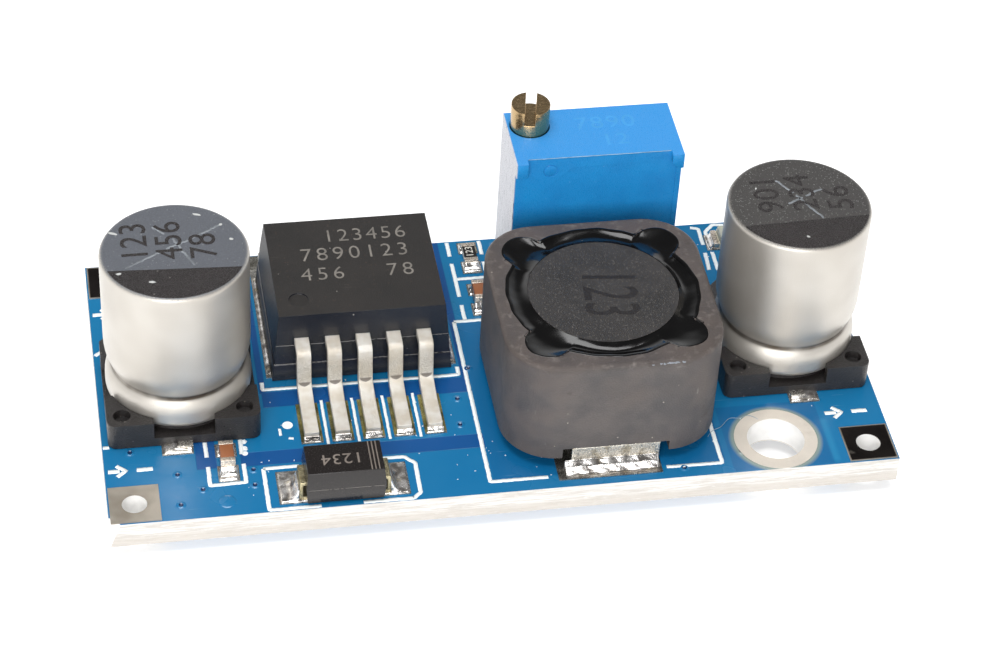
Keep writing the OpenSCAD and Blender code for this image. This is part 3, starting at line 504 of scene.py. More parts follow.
# ---------------------------------------------------------------- settings
class BoardSettings(bpy.types.PropertyGroup):
    """Colours and print of the board."""
    over_copper: FloatVectorProperty(name="Mask over copper", description="Solder mask where copper lies under it",
                                     subtype="COLOR", size=4, min=0, max=1, default=tone(14, 108, 156))
    over_laminate: FloatVectorProperty(name="Mask over laminate", description="Solder mask in the gaps of the copper",
                                       subtype="COLOR", size=4, min=0, max=1, default=tone(14, 76, 136))
    print_colour: FloatVectorProperty(name="Print", description="Colour of the printed lines",
                                      subtype="COLOR", size=4, min=0, max=1, default=tone(240, 246, 246))
    print_width: FloatProperty(name="Print width", description="Width of the part outlines, in millimetres",
                               default=0.23, min=0.1, max=0.4)
    dust_count: IntProperty(name="Dust", description="About how many dust specks lie on the board",
                            default=70, min=0, max=400)


class CanSettings(bpy.types.PropertyGroup):
    """Finish of the two aluminium cans."""
    wall: FloatVectorProperty(name="Can wall", description="Satin aluminium of the can",
                              subtype="COLOR", size=4, min=0, max=1, default=tone(203, 198, 190))
    # The two top colours are a painted reflection of the dark surroundings on the flat tops of the cans.
    input_top: FloatVectorProperty(name="Input can top", description="Painted reflection on the top of the input can",
                                   subtype="COLOR", size=4, min=0, max=1, default=tone(112, 116, 124))
    output_top: FloatVectorProperty(name="Output can top", description="Painted reflection on the top of the output can",
                                    subtype="COLOR", size=4, min=0, max=1, default=tone(82, 80, 79))
    shoulder: FloatProperty(name="Shoulder", description="Radius of the can's upper edge, in millimetres",
                            default=0.3, min=0.1, max=0.6)


class PartSettings(bpy.types.PropertyGroup):
    """Finish of the other parts."""
    epoxy: FloatVectorProperty(name="Moulding", description="Epoxy of the regulator",
                               subtype="COLOR", size=4, min=0, max=1, default=tone(21, 18, 16))
    ferrite: FloatVectorProperty(name="Ferrite", description="Inductor shield",
                                 subtype="COLOR", size=4, min=0, max=1, default=tone(70, 67, 67))
    trimmer: FloatVectorProperty(name="Trimmer", description="Plastic of the trimmer's case",
                                 subtype="COLOR", size=4, min=0, max=1, default=tone(34, 146, 216))
    edge: FloatProperty(name="Edge radius", description="Rounding of moulded edges, in millimetres",
                        default=0.05, min=0.02, max=0.15)


class StageSettings(bpy.types.PropertyGroup):
    """Camera and lamps."""
    lens: FloatProperty(name="Lens", description="Focal length in millimetres", default=103.67, min=20, max=300)
    key_power: FloatProperty(name="Key lamp", description="Power of the overhead lamp in watts",
                             default=0.95, min=0, max=10)
    fill_power: FloatProperty(name="Fill lamp", description="Power of the front lamp in watts",
                              default=1.1, min=0, max=10)
    sky: FloatProperty(name="Surround", description="Strength of the light from all round",
                       default=0.5, min=0, max=2)


# ---------------------------------------------------------------- board
def rect(g, x, y, x0, y0, x1, y1, soft=0.03):
    """One inside the rectangle, nought outside."""
    a = g.math("MULTIPLY", g.spread(x, x0 - soft, x0 + soft), g.spread(x, x1 + soft, x1 - soft))
    b = g.math("MULTIPLY", g.spread(y, y0 - soft, y0 + soft), g.spread(y, y1 + soft, y1 - soft))
    return g.math("MULTIPLY", a, b)


def most(g, masks):
    whole = masks[0]
    for mask in masks[1:]:
        whole = g.math("MAXIMUM", whole, mask)
    return whole


BARE = [(-12.6, -2.43, -1.0, -1.2), (-14.25, -6.9, -0.9, -5.85), (-16.65, -6.85, -15.55, -4.65),
        (-1.35, -2.4, -0.95, 10.5), (-12.7, -1.3, -12.35, 9.8), (-0.3, 6.95, 2.6, 7.2)]
DEEP = [(12.3, -10.4, 17.95, -5.35), (-0.9, -9.5, 12.0, 3.3)]


def mask_material(look):
    """Glossy solder mask: copper shows lighter, the gaps between copper darker and a little lower."""
    if "Solder mask" in bpy.data.materials:
        return bpy.data.materials["Solder mask"]
    material, g, shader, v = new_material("Solder mask")
    x, y = g.split(v, 0), g.split(v, 1)
    wave = g.noise(v, 1.3, 2.0)
    mottle = g.group(grain_effect(), "Mottle", Vector=v, Scale=2.2)
    gap = most(g, [rect(g, x, y, *r) for r in BARE])
    deep = g.spread(y, 2.0, -9.0, 0.0, 0.35)
    copper = g.mix(g.math("MULTIPLY", mottle, 0.25), tuple(look.over_copper), tone(30, 126, 168))
    copper = g.mix(deep, copper, tone(12, 96, 148))
    copper = g.mix(g.math("MULTIPLY", most(g, [rect(g, x, y, *r) for r in DEEP]), 0.45), copper, tone(8, 78, 132))
    copper = g.mix(g.math("MULTIPLY", rect(g, x, y, 17.95, -10.2, 18.3, -6.9, 0.12), 0.4), copper, tone(40, 134, 176))
    rings = []
    for place in fixing_holes():
        away = g.add("ShaderNodeVectorMath", {0: g.add("ShaderNodeVectorMath", {0: v, 1: place},
                     operation="SUBTRACT"), 1: (1, 1, 0)}, operation="MULTIPLY")
        far = g.add("ShaderNodeVectorMath", {0: away}, out=1, operation="LENGTH")
        rings.append(g.spread(far, 2.66, 2.42))
    colour = g.mix(gap, copper, tuple(look.over_laminate))
    colour = g.mix(g.math("MULTIPLY", most(g, rings), 0.8), colour, tone(138, 150, 136))
    streak = g.group(scuff_effect(), "Mask", Vector=v, Scale=0.7)
    colour = g.mix(g.math("MULTIPLY", streak, 0.25), colour, tone(150, 190, 215))
    height = g.math("SUBTRACT", g.math("MULTIPLY", wave, 0.3), g.math("MULTIPLY", gap, 0.4))
    feed(g, shader, Base_Color=colour, Roughness=g.spread(mottle, 0.0, 1.0, 0.16, 0.3),
         Normal=bumped(g, height, 0.03), Coat_Weight=0.5, Coat_Roughness=0.12, IOR=1.52)
    return material


def fixing_holes():
    """The two fixing holes, from the record, in millimetres."""
    return [tuple(v / MM for v in m["pos_m"]) for m in frame["record"]["mounts"]
            if m["name"].startswith("fixing_hole_")]


def edge_material():
    """Sawn glass laminate: pale, layered, with fibre ends and tan streaks."""
    material, g, shader, v = new_material("Laminate edge")
    layers = g.noise(g.place(v, scale=(0.5, 0.5, 9.0)), 1.0, 4.0, 0.6)
    fibres = g.noise(g.place(v, scale=(1.2, 1.2, 14.0)), 1.4, 3.0, 0.7)
    ends = g.noise(v, 16.0, 2.0)
    colour = g.mix(g.spread(layers, 0.42, 0.62), tone(204, 199, 192), tone(232, 230, 227))
    colour = g.mix(g.math("MULTIPLY", g.spread(fibres, 0.56, 0.7), 0.7), colour, tone(246, 246, 245))
    colour = g.mix(g.math("MULTIPLY", g.spread(ends, 0.62, 0.7), 0.2), colour, tone(190, 174, 148))
    lower = g.math("MULTIPLY", g.spread(g.split(v, 2), 0.75, 0.45), g.spread(layers, 0.3, 0.7, 0.25, 0.8))
    colour = g.mix(lower, colour, tone(198, 190, 180))
    feed(g, shader, Base_Color=colour, Roughness=0.7, Normal=bumped(g, fibres, 0.02))
    return material


def tin(name, colour=(208, 205, 198), rough=0.25, uneven=0.5, grain=9.0, stain=0.0, metal=0.95):
    """Hot-dipped tin: a soft mottled mirror."""
    if name in bpy.data.materials:
        return bpy.data.materials[name]
    material, g, shader, v = new_material(name)
    mottle = g.group(grain_effect(), "Mottle", Vector=v, Scale=grain)
    fine = g.group(grain_effect(), "Grain", Vector=v, Scale=grain * 2)
    dark = tuple(c * (1 - 0.7 * uneven) for c in tone(*colour)[:3]) + (1.0,)
    base = g.mix(g.spread(mottle, 0.1, 0.7), dark, tone(*colour))
    if stain:
        base = g.mix(g.math("MULTIPLY", g.spread(g.noise(v, 1.6, 3.0), 0.52, 0.68), stain), base,
                     tone(128, 112, 70))
    height = g.math("MULTIPLY_ADD", fine, 0.35, g.math("MULTIPLY", mottle, uneven))
    feed(g, shader, Base_Color=base, Metallic=metal,
         Roughness=g.spread(fine, 0.0, 1.0, max(0.03, rough - 0.1), rough + 0.15),
         Normal=bumped(g, height, 0.03))
    return material


def pad_material():
    """Wire pads: thin levelled tin. One is hazed; the others are smooth mirrors, tinted near-black as a painted
    reflection of the dark surroundings, inside a pale rim that is a painted highlight.
    """
    material, g, shader, v = new_material("Levelled tin")
    x, y = g.split(v, 0), g.split(v, 1)
    lo, hi = box_mm("wire_pads")
    wide, rim = 2.7, 0.07
    mottle = g.group(grain_effect(), "Mottle", Vector=v, Scale=5.0)
    fine = g.group(grain_effect(), "Grain", Vector=v, Scale=14.0)
    inner = [rect(g, x, y, x0 + rim, y0 + rim, x0 + wide - rim, y0 + wide - rim, 0.04) for x0, y0 in
             ((lo[0], hi[1] - wide), (hi[0] - wide, hi[1] - wide), (hi[0] - wide, lo[1]))]
    # Painted reflection: the smooth pads are tinted near-black. Painted highlight: the pale rim round each of them.
    mirror = g.math("MULTIPLY", most(g, inner), g.spread(mottle, 0.02, 0.1, 0.7, 1.0))
    haze_and_rim_highlight = g.mix(g.spread(mottle, 0.2, 0.9), tone(186, 179, 168), tone(158, 150, 138))
    base = g.mix(mirror, haze_and_rim_highlight, g.mix(mottle, tone(44, 40, 39), tone(66, 60, 58)))
    feed(g, shader, Base_Color=base, Metallic=0.85,
         Roughness=g.math("ADD", g.spread(mirror, 0.0, 1.0, 0.42, 0.1), g.math("MULTIPLY", fine, 0.1)),
         Normal=bumped(g, mottle, 0.015))
    return material


def land_material():
    """Soldered lands: bright tin with an olive film of flux beside the regulator's leads."""
    material, g, shader, v = new_material("Land with flux")
    x, y = g.split(v, 0), g.split(v, 1)
    leads = box_mm("regulator_leads")
    near = rect(g, x, y, leads[0][0] - 0.5, leads[0][1] - 0.2, leads[1][0] + 0.5, leads[0][1] + 3.2)
    mottle = g.group(grain_effect(), "Mottle", Vector=v, Scale=9.0)
    fine = g.group(grain_effect(), "Grain", Vector=v, Scale=16.0)
    flux = g.mix(g.spread(mottle, 0.2, 0.8), tone(74, 72, 42), tone(140, 132, 78))
    base = g.mix(near, g.mix(mottle, tone(150, 147, 138), tone(214, 212, 206)), flux)
    feed(g, shader, Base_Color=base, Metallic=g.spread(near, 0.0, 1.0, 0.95, 0.35),
         Roughness=g.spread(fine, 0.0, 1.0, 0.14, 0.4), Normal=bumped(g, mottle, 0.05))
    return material


def solder_material():
    """Reflowed solder: lumpy, bright, with dull grey grain and thin brown flux."""
    if "Reflowed solder" in bpy.data.materials:
        return bpy.data.materials["Reflowed solder"]
    material, g, shader, v = new_material("Reflowed solder")
    patch = g.noise(v, 1.9, 2.0)
    fine = g.group(grain_effect(), "Grain", Vector=v, Scale=9.0)
    flux = g.spread(g.noise(v, 0.9, 3.0, 0.6), 0.58, 0.68)
    base = g.mix(g.spread(patch, 0.38, 0.58), tone(176, 170, 164), tone(252, 249, 246))
    base = g.mix(g.math("MULTIPLY", flux, 0.5), base, tone(178, 160, 104))
    feed(g, shader, Base_Color=base, Metallic=0.9, Roughness=g.spread(patch, 0.35, 0.65, 0.1, 0.28),
         Normal=bumped(g, g.math("ADD", patch, g.math("MULTIPLY", fine, 0.12)), 0.03))
    return material


class CONVERTER_OT_board(bpy.types.Operator):
    """Board with its mask, sawn edges, tinned holes, pads and lands"""
    bl_idname = "converter.board"
    bl_label = "Board"

    def execute(self, context):
        look = context.scene.converter_board
        board = skin("circuit_board", mask_material(look), 0, smooth=30)
        mesh = board.data
        mesh.materials.append(edge_material())
        # Painted light: the hole walls are tinted near-white, brighter than tin, so the holes read bright.
        mesh.materials.append(tin("Hole wall tin, painted bright", (255, 254, 252), 0.4, 0.12, 7.0, metal=0.2))
        w, d = BOARD_HI[0] - 0.02, BOARD_HI[1] - 0.02
        for face in mesh.polygons:
            c = face.center / MM
            if abs(face.normal.z) < 0.5:
                face.material_index = 1 if max(abs(c.x) - w, abs(c.y) - d) > 0 else 2
        give("wire_pads", pad_material())
        give("hole_rings", tin("Ring tin", (228, 220, 209), 0.38, 0.16, 2.6, metal=0.5))
        give("part_lands", land_material())
        give("pin_lands", tin("Pin land tin", (206, 203, 195), 0.22))
        return {"FINISHED"}


VIAS = [(-20.13, -5.13), (-17.73, -7.12), (-16.47, -8.4), (-17.73, -9.41), (-13.65, -7.2), (-13.69, -8.37),
        (-0.88, -0.55), (-1.86, -2.96), (-2.03, -5.03), (12.6, 1.3), (13.0, -8.9), (9.6, -9.8), (2.3, 9.9)]


class CONVERTER_OT_vias(bpy.types.Operator):
    """Plugged vias: small raised rims with a dimple, closed by the mask"""
    bl_idname = "converter.vias"
    bl_label = "Plugged vias"

    def execute(self, context):
        rims, plugs = [], []
        for x, y in VIAS:
            rims.append(revolve([(0, TOP - 0.02), (0.3, TOP - 0.02), (0.29, TOP + 0.002), (0.22, TOP + 0.012),
                                 (0.17, TOP + 0.04), (0.13, TOP + 0.034), (0.1, TOP - 0.01), (0, TOP - 0.01)],
                                (x, y), 32))
            plugs.append(revolve([(0, TOP - 0.015), (0.125, TOP - 0.015), (0.13, TOP + 0.034),
                                  (0.1, TOP + 0.02), (0.05, TOP + 0.006), (0, TOP + 0.003)], (x, y), 24))
        rims.append(revolve([(0, TOP - 0.02), (0.5, TOP - 0.02), (0.48, TOP + 0.003), (0.36, TOP + 0.016),
                             (0.2, TOP + 0.03), (0.08, TOP + 0.038), (0, TOP + 0.04)], (-15.27, -9.43), 40))
        mesh_piece("via_rims", joined(rims), mask_material(context.scene.converter_board),
                   smooth=50)
        mesh_piece("via_plugs", joined(plugs), plain_finish("Plug mask", tone(8, 40, 84), 0.08, scale=3, coat=0.6,
                                                            bump=0.01), smooth=50)
        return {"FINISHED"}


def outline_lines():
    """The printed part outlines in millimetres, grouped by the parts they frame."""
    lines = [[(-12.5, -0.4), (-12.5, -1.0), (-1.47, -1.0), (-1.47, -0.35)]]
    lines += [[(-13.12, -7.2), (-13.12, -10.35), (-10.34, -10.35)], [(-8.08, -10.35), (-5.36, -10.35)],
              [(-13.12, -7.2), (-11.2, -7.2)], [(-6.7, -7.15), (-5.45, -7.17), (-4.91, -7.71),
                                                (-4.95, -9.98), (-5.36, -10.35)]]
    lines += [[(-1.05, 3.4), (-1.1, -9.63), (2.07, -9.63)], [(8.65, -9.63), (11.75, -9.66), (11.77, 3.4)],
              [(-1.05, 3.43), (2.0, 3.43)], [(9.7, 3.43), (11.77, 3.43)]]
    lines += [[(-16.06, -4.82), (-16.06, -5.97)], [(-16.06, -6.71), (-16.06, -8.15), (-14.12, -8.1),
                                                   (-14.14, -6.69)], [(-14.14, -4.79), (-14.16, -5.94)]]
    lines += [[(-0.4, 10.4), (-0.4, 9.16)], [(-0.4, 8.5), (-0.4, 5.54)], [(-0.4, 4.8), (-0.4, 3.49)],
              [(1.5, 10.4), (1.5, 9.16)], [(1.5, 8.5), (1.5, 7.2)], [(-0.3, 7.1), (1.4, 7.1)]]
    lines += [[(16.35, 10.25), (15.69, 10.33), (15.13, 9.73), (15.18, 8.6)],
              [(14.31, 10.19), (14.77, 10.05), (14.74, 8.56)], [(14.7, 7.83), (14.6, 6.28)],
              [(15.14, 7.87), (15.13, 6.22)], [(17.5, 10.3), (18.1, 9.75), (18.1, 6.3)],
              [(-21.5, 2.85), (-21.03, 3.23), (-21.03, 3.9)], [(-21.55, -4.6), (-21.2, -4.6)]]
    return lines


class CONVERTER_OT_print(bpy.types.Operator):
    """Printed outlines, lead dividers, signs and dots on the board"""
    bl_idname = "converter.print"
    bl_label = "Board print"

    def execute(self, context):
        look = context.scene.converter_board
        ink = plain_finish("Board print ink", tuple(look.print_colour), 0.55, scale=14, shade=0.92, bump=0.006)
        z = TOP + 0.012
        strokes("print_outlines", outline_lines(), look.print_width, z, ink)
        leads = box_mm("regulator_leads")
        step = (leads[1][0] - leads[0][0] - 0.8) / 4
        dividers = [[(leads[0][0] + 0.4 + (i + 0.5) * step, -5.7), (leads[0][0] + 0.4 + (i + 0.5) * step, -2.2)]
                    for i in range(4)]
        small = [[(-11.92, -4.2), (-11.9, -4.75)], [(-11.5, -4.98), (-11.24, -5.06)],
                 [(-13.95, -4.85), (-13.85, -5.05)], [(-13.98, -5.45), (-13.85, -5.65)]]
        strokes("print_dividers", dividers + small, 0.16, z, ink, seed=9)
        # An arrow for the way in or out and a sign stand beside each wire pad.
        signs, heads = [], []
        for px, py, way, plus in ((-20.15, -6.5, 1, False), (19.6, -6.5, 1, False), (-20.15, 6.3, 1, True),
                                  (19.6, 6.3, 1, True)):
            signs.append([(px + 0.3, py), (px + 1.15, py)])
            if plus:
                signs += [[(px + 0.72, py + 0.16), (px + 0.72, py + 0.45)],
                          [(px + 0.72, py - 0.16), (px + 0.72, py - 0.45)]]
            signs.append([(px - 1.25, py), (px - 0.62, py)])
            heads.append([(px - 0.78, py + 0.42), (px - 0.3, py), (px - 0.78, py - 0.42)])
        strokes("print_signs", signs, 0.28, z, ink, seed=5)
        strokes("print_arrows", heads, 0.24, z + 0.004, ink, seed=6, ragged=0.006)
        bm = bmesh.new()
        slab(bm, disc((-11.45, -3.97), 0.29), TOP, TOP + 0.016)
        for y in (-5.0, -5.5, -5.9):
            slab(bm, disc((-13.98, y), 0.17, 12), TOP, TOP + 0.016)
        mesh_piece("print_dots", bm, ink)
        return {"FINISHED"}


def wetted_lands():
    """Lands of the small parts, in millimetres, which a film of solder covers whole."""
    bm = bmesh.new()
    bm.from_mesh(frame["nodes"]["part_lands"].data)
    bmesh.ops.remove_doubles(bm, verts=bm.verts, dist=0.000002)
    left, lands = set(bm.verts), []
    while left:
        reached, edge = set(), [left.pop()]
        while edge:
            vert = edge.pop()
            reached.add(vert)
            for link in vert.link_edges:
                other = link.other_vert(vert)
                if other in left:
                    left.discard(other)
                    edge.append(other)
        xs, ys = [v.co.x / MM for v in reached], [v.co.y / MM for v in reached]
        land = (min(xs), min(ys), max(xs), max(ys))
        if land[2] - land[0] < 2.2 and land[3] - land[1] < 3.12:
            lands.append(land)
    bm.free()
    return lands


class CONVERTER_OT_solder(bpy.types.Operator):
    """Solder joints: the plain fillets run together, softened and made uneven"""
    bl_idname = "converter.solder"
    bl_label = "Solder joints"

    def execute(self, context):
        bm = bmesh.new()
        bm.from_mesh(frame["nodes"]["solder_joints"].data)
        bmesh.ops.remove_doubles(bm, verts=bm.verts, dist=0.000002)
        film = bmesh.new()
        for x0, y0, x1, y1 in wetted_lands():
            slab(film, [(x0 + 0.05, y0 + 0.05), (x1 - 0.05, y0 + 0.05), (x1 - 0.05, y1 - 0.05),
                        (x0 + 0.05, y1 - 0.05)], TOP - 0.02, LAND + 0.05)
        bmesh.ops.scale(film, vec=(MM, MM, MM), verts=film.verts)
        bm = joined([bm, film])
        mesh = bpy.data.meshes.new("solder")
        bm.to_mesh(mesh)
        bm.free()
        obj = bpy.data.objects.new("solder", mesh)
        context.scene.collection.objects.link(obj)
        melt = obj.modifiers.new("Run together", "REMESH")
        melt.mode = "VOXEL"
        melt.voxel_size = 0.055 * MM
        melt.use_smooth_shade = True
        soft = obj.modifiers.new("Soften", "SMOOTH")
        soft.factor = 0.5
        soft.iterations = 9
        mesh = bake(obj)
        bm = bmesh.new()
        bm.from_mesh(mesh)
        for vert in bm.verts:
            p = vert.co / MM
            lump = math.sin(p.x * 5.1 + 1.7 * math.sin(p.y * 3.3)) * math.sin(p.y * 4.7 + p.x * 1.9)
            vert.co += vert.normal * (0.016 + 0.016 * lump) * MM
        bm.to_mesh(mesh)
        bm.free()
        settle("solder_beads", mesh, solder_material(), replaces=("solder_joints",), smooth=60)
        return {"FINISHED"}


# ---------------------------------------------------------------- capacitor cans
def can_material(name, top_colour, look, centre, top_z, sparkle):
    """Satin drawn can: its flat top is tinted darker as a painted reflection of the dark surroundings, and the groove
    is darkened with painted shade.
    """
    material, g, shader, v = new_material(name)
    local = g.add("ShaderNodeVectorMath", {0: v, 1: (centre[0], centre[1], 0)}, operation="SUBTRACT")
    z = g.split(v, 2)
    fine = g.group(grain_effect(), "Grain", Vector=v, Scale=18.0)
    mottle = g.group(grain_effect(), "Mottle", Vector=v, Scale=5.0)
    cloud = g.noise(local, 0.28, 2.0)
    wall = g.mix(g.spread(cloud, 0.4, 0.65, 0.0, 0.6), tuple(look.wall), tone(186, 180, 171))
    # Painted shade: the crimped groove is darkened, broken up by the mottle.
    groove = rect(g, z, z, TOP + 2.74, TOP + 2.74, TOP + 3.1, TOP + 3.1, 0.09)
    groove_shade = g.math("MULTIPLY", groove, g.spread(mottle, 0.0, 0.9, 0.5, 1.0))
    wall = g.mix(groove_shade, wall, tone(80, 70, 60))
    stars = g.group(speck_effect(), "Mask", Vector=v, Scale=11.0, Size=0.42, Share=sparkle)
    height = g.math("MULTIPLY_ADD", fine, 0.1, z)
    flat = g.spread(height, top_z - 0.1, top_z + 0.03)
    # Painted reflection: the flat top is tinted darker, as the dark surroundings show in it.
    film = g.mix(g.spread(fine, 0.3, 0.8), tuple(c * 0.62 for c in top_colour[:3]) + (1.0,), top_colour)
    film = g.mix(g.math("MULTIPLY", stars, 0.42), film, tone(186, 188, 184))
    colour = g.mix(flat, wall, film)
    feed(g, shader, Base_Color=colour, Metallic=g.spread(flat, 0.0, 1.0, 0.72, 0.35),
         Roughness=g.math("ADD", g.spread(fine, 0.0, 1.0, 0.3, 0.38), g.math("MULTIPLY", flat, 0.02)),
         Normal=bumped(g, g.math("ADD", fine, g.math("MULTIPLY", stars, 0.6)), 0.006))
    return material


def can_profile(r, low, high, shoulder):
    """Half outline of a can: rolled bead at the foot, a crimped neck and a rounded shoulder."""
    points = [(0, low), (r - 0.62, low)]
    points += [(r - 0.5 + 0.5 * math.sin(math.radians(a)), low + 0.5 - 0.5 * math.cos(math.radians(a)))
               for a in range(15, 91, 15)]
    neck = [(0.0, 0.62), (0.0, 0.95), (0.012, 1.15), (0.045, 1.33), (0.1, 1.5), (0.18, 1.66), (0.262, 1.78),
            (0.32, 1.88), (0.34, 1.97), (0.34, 2.06), (0.325, 2.15), (0.28, 2.27), (0.215, 2.42),
            (0.145, 2.6), (0.085, 2.8), (0.04, 3.03), (0.012, 3.3), (0.0, 3.6)]
    points += [(r - depth, low + up) for depth, up in neck]
    points += [(r, high - 2 * shoulder)]
    points += [(r - shoulder + shoulder * math.cos(math.radians(a)),
                high - shoulder + shoulder * math.sin(math.radians(a))) for a in range(0, 91, 15)]
    return points + [(r - shoulder - 0.08, high), (0, high)]


def top_marks(name, centre, z, chord, tilt, rows, scores, flecks, radius=3.84):
    """Print on a can's top: the dark minus segment, plain counting digits and the vent's score lines."""
    cx, cy = centre
    ink = plain_finish(name + " print", tone(34, 28, 28), 0.26, scale=14, shade=0.55, bump=0.014, coat=0.3,
                       dust=0.1, dust_tone=(120, 116, 112))
    half = math.degrees(math.acos(chord / radius))
    bm = bmesh.new()
    slab(bm, disc(centre, radius, 96, -90 + tilt - half, 2 * half), z - 0.06, z + 0.012)
    parts = [bm] + [digits(text, 2.05, (cx + x, cy + y), 90, z - 0.004, 0.014, stretch=1.02, gap=1.02, bold=0.0)
                    for text, x, y in rows]
    mesh_piece(name + "_print", joined(parts), ink)
    pale = plain_finish(name + " score", tone(160, 166, 172), 0.4, metal=0.3, scale=7, shade=0.3)
    lines = []
    for x0, y0, x1, y1 in scores:
        steps = 9
        lines.append([(x0 + (x1 - x0) * i / steps, y0 + (y1 - y0) * i / steps) for i in range(steps + 1)])
    strokes(name + "_score", lines, 0.13, z + 0.003, pale, ragged=0.045)
    chip = plain_finish(name + " fleck", tone(188, 190, 188), 0.6, scale=14)
    bm = bmesh.new()
    rng = random.Random(len(name) + 5)
    for x, y, long in flecks:
        turn = rng.uniform(-0.6, 0.6)
        ring = []
        for i in range(9):
            a = 2 * math.pi * i / 9
            rx, ry = long * math.cos(a) * rng.uniform(0.7, 1.1), 0.09 * math.sin(a) * rng.uniform(0.7, 1.3)
            ring.append((x + rx * math.cos(turn) - ry * math.sin(turn),
                         y + rx * math.sin(turn) + ry * math.cos(turn)))
        slab(bm, ring, z + 0.008, z + 0.024)
    mesh_piece(name + "_flecks", bm, chip)


class CONVERTER_OT_cans(bpy.types.Operator):
    """Two rolled aluminium cans with their moulded bases, terminals and top print"""
    bl_idname = "converter.cans"
    bl_label = "Capacitor cans"

    def execute(self, context):
        look = context.scene.converter_cans
        base = plain_finish("Can base moulding", tone(40, 36, 35), 0.36, scale=11, shade=0.5, bump=0.03,
                            dust=0.5, dust_tone=(120, 114, 108), coat=0.15)
        for side, top_colour, sparkle in (("input", look.input_top, 0.12), ("output", look.output_top, 0.5)):
            lo, hi = box_mm(side + "_cap_can")
            centre = ((lo[0] + hi[0]) / 2, (lo[1] + hi[1]) / 2)
            r = (hi[0] - lo[0]) / 2
            low = TOP + (lo[2] - TOP if lo[2] > TOP + 0.9 else 0.95)
            finish = can_material(side + " can aluminium", tuple(top_colour), look, centre, hi[2], sparkle)
            mesh_piece(side + "_can_rolled", revolve(can_profile(r, low, hi[2], look.shoulder), centre, 192),
                       finish, replaces=(side + "_cap_can",), smooth=50)
            skin(side + "_cap_base", base, 0.07)
            skin(side + "_cap_terminals", tin("Terminal tin", (214, 210, 202), 0.22, 0.4, 6.0), 0.03,
                 segments=2)
            give(side + "_cap_bung", plain_finish(side + " bung rubber", tone(30, 30, 30), 0.7))
            give(side + "_cap_winding", plain_finish(side + " wound foil", tone(150, 130, 96), 0.5, metal=0.3))
        lo, hi = box_mm("input_cap_can")
        cx, cy = (lo[0] + hi[0]) / 2, (lo[1] + hi[1]) / 2
        z = hi[2]
        top_marks("input_can", (cx, cy), z, 1.52, -3.0,
                  [("123", -2.0, 0.92), ("456", -0.17, 0.86), ("78", 1.62, 0.2)],
                  [(-19.72, -1.84, -17.6, -0.6), (-17.5, -0.5, -16.3, 0.1), (-16.2, 0.2, -14.42, 1.22),
                   (-18.09, 1.37, -17.5, 0.75), (-17.1, 0.3, -16.12, -2.0)],
                  [(-20.22, 1.05, 0.28), (-15.63, 2.16, 0.24), (-14.0, -0.06, 0.16), (-20.13, -2.27, 0.16),
                   (-18.44, -3.11, 0.22), (-14.45, 1.2, 0.1)])
        lo, hi = box_mm("output_cap_can")
        cx, cy = (lo[0] + hi[0]) / 2, (lo[1] + hi[1]) / 2
        z = hi[2]
        top_marks("output_can", (cx, cy), z, 1.55, 2.0,
                  [("901", -1.6, 0.9), ("234", 0.36, 0.86), ("56", 2.3, 0.2)],
                  [(16.27, 1.51, 17.0, 0.3), (17.1, 0.1, 18.11, -1.96), (16.49, -0.55, 17.4, -0.1),
                   (17.6, 0.0, 18.6, 0.48)],
                  [(16.9, -3.45, 0.08), (15.0, 0.9, 0.05)])
        return {"FINISHED"}


# ---------------------------------------------------------------- regulator
def epoxy_material(look):
    """Moulded epoxy: fine and dull on top, polished on the sides with a painted bluish reflection, with faint flow
    marks.
    """
    material, g, shader, v = new_material("Regulator moulding")
    up = g.split(g.add("ShaderNodeNewGeometry", out=1), 2)
    topside = g.spread(up, 0.8, 0.98)
    fine = g.group(grain_effect(), "Grain", Vector=v, Scale=16.0)
    mottle = g.group(grain_effect(), "Mottle", Vector=v, Scale=4.0)
    scuff = g.group(scuff_effect(), "Mask", Vector=v, Scale=0.9)
    dust = g.group(speck_effect(), "Mask", Vector=v, Scale=1.6, Size=0.07, Share=0.3)
    base = g.mix(g.spread(mottle, 0.0, 1.0, 0.1, 0.7), tuple(look.epoxy), tone(33, 28, 25))
    grit = g.group(speck_effect(), "Mask", Vector=v, Scale=8.0, Size=0.3, Share=0.25)
    base = g.mix(g.math("MULTIPLY", grit, 0.3), base, tone(104, 84, 66))
    base = g.mix(g.math("MULTIPLY", scuff, 0.2), base, tone(96, 90, 86))
    # Painted reflection: every face but the top is tinted blue-grey, more so the steeper it stands.
    base = g.mix(g.spread(topside, 0.0, 1.0, 0.55, 0.0), base, tone(30, 34, 44))
    base = g.mix(g.math("MULTIPLY", dust, 0.6), base, tone(196, 192, 186))
    side = g.spread(g.split(g.add("ShaderNodeNewGeometry", out=1), 0), -0.6, -0.9)
    rough = g.math("ADD", g.spread(topside, 0.0, 1.0, 0.16, 0.52), g.math("MULTIPLY", side, 0.24))
    feed(g, shader, Base_Color=base, Roughness=g.math("ADD", rough, g.math("MULTIPLY", fine, 0.1)),
         Specular_IOR_Level=g.spread(side, 0.0, 1.0, 0.5, 0.25),
         Normal=bumped(g, g.math("MULTIPLY", fine, g.spread(topside, 0.0, 1.0, 0.25, 1.0)), 0.012))
    return material


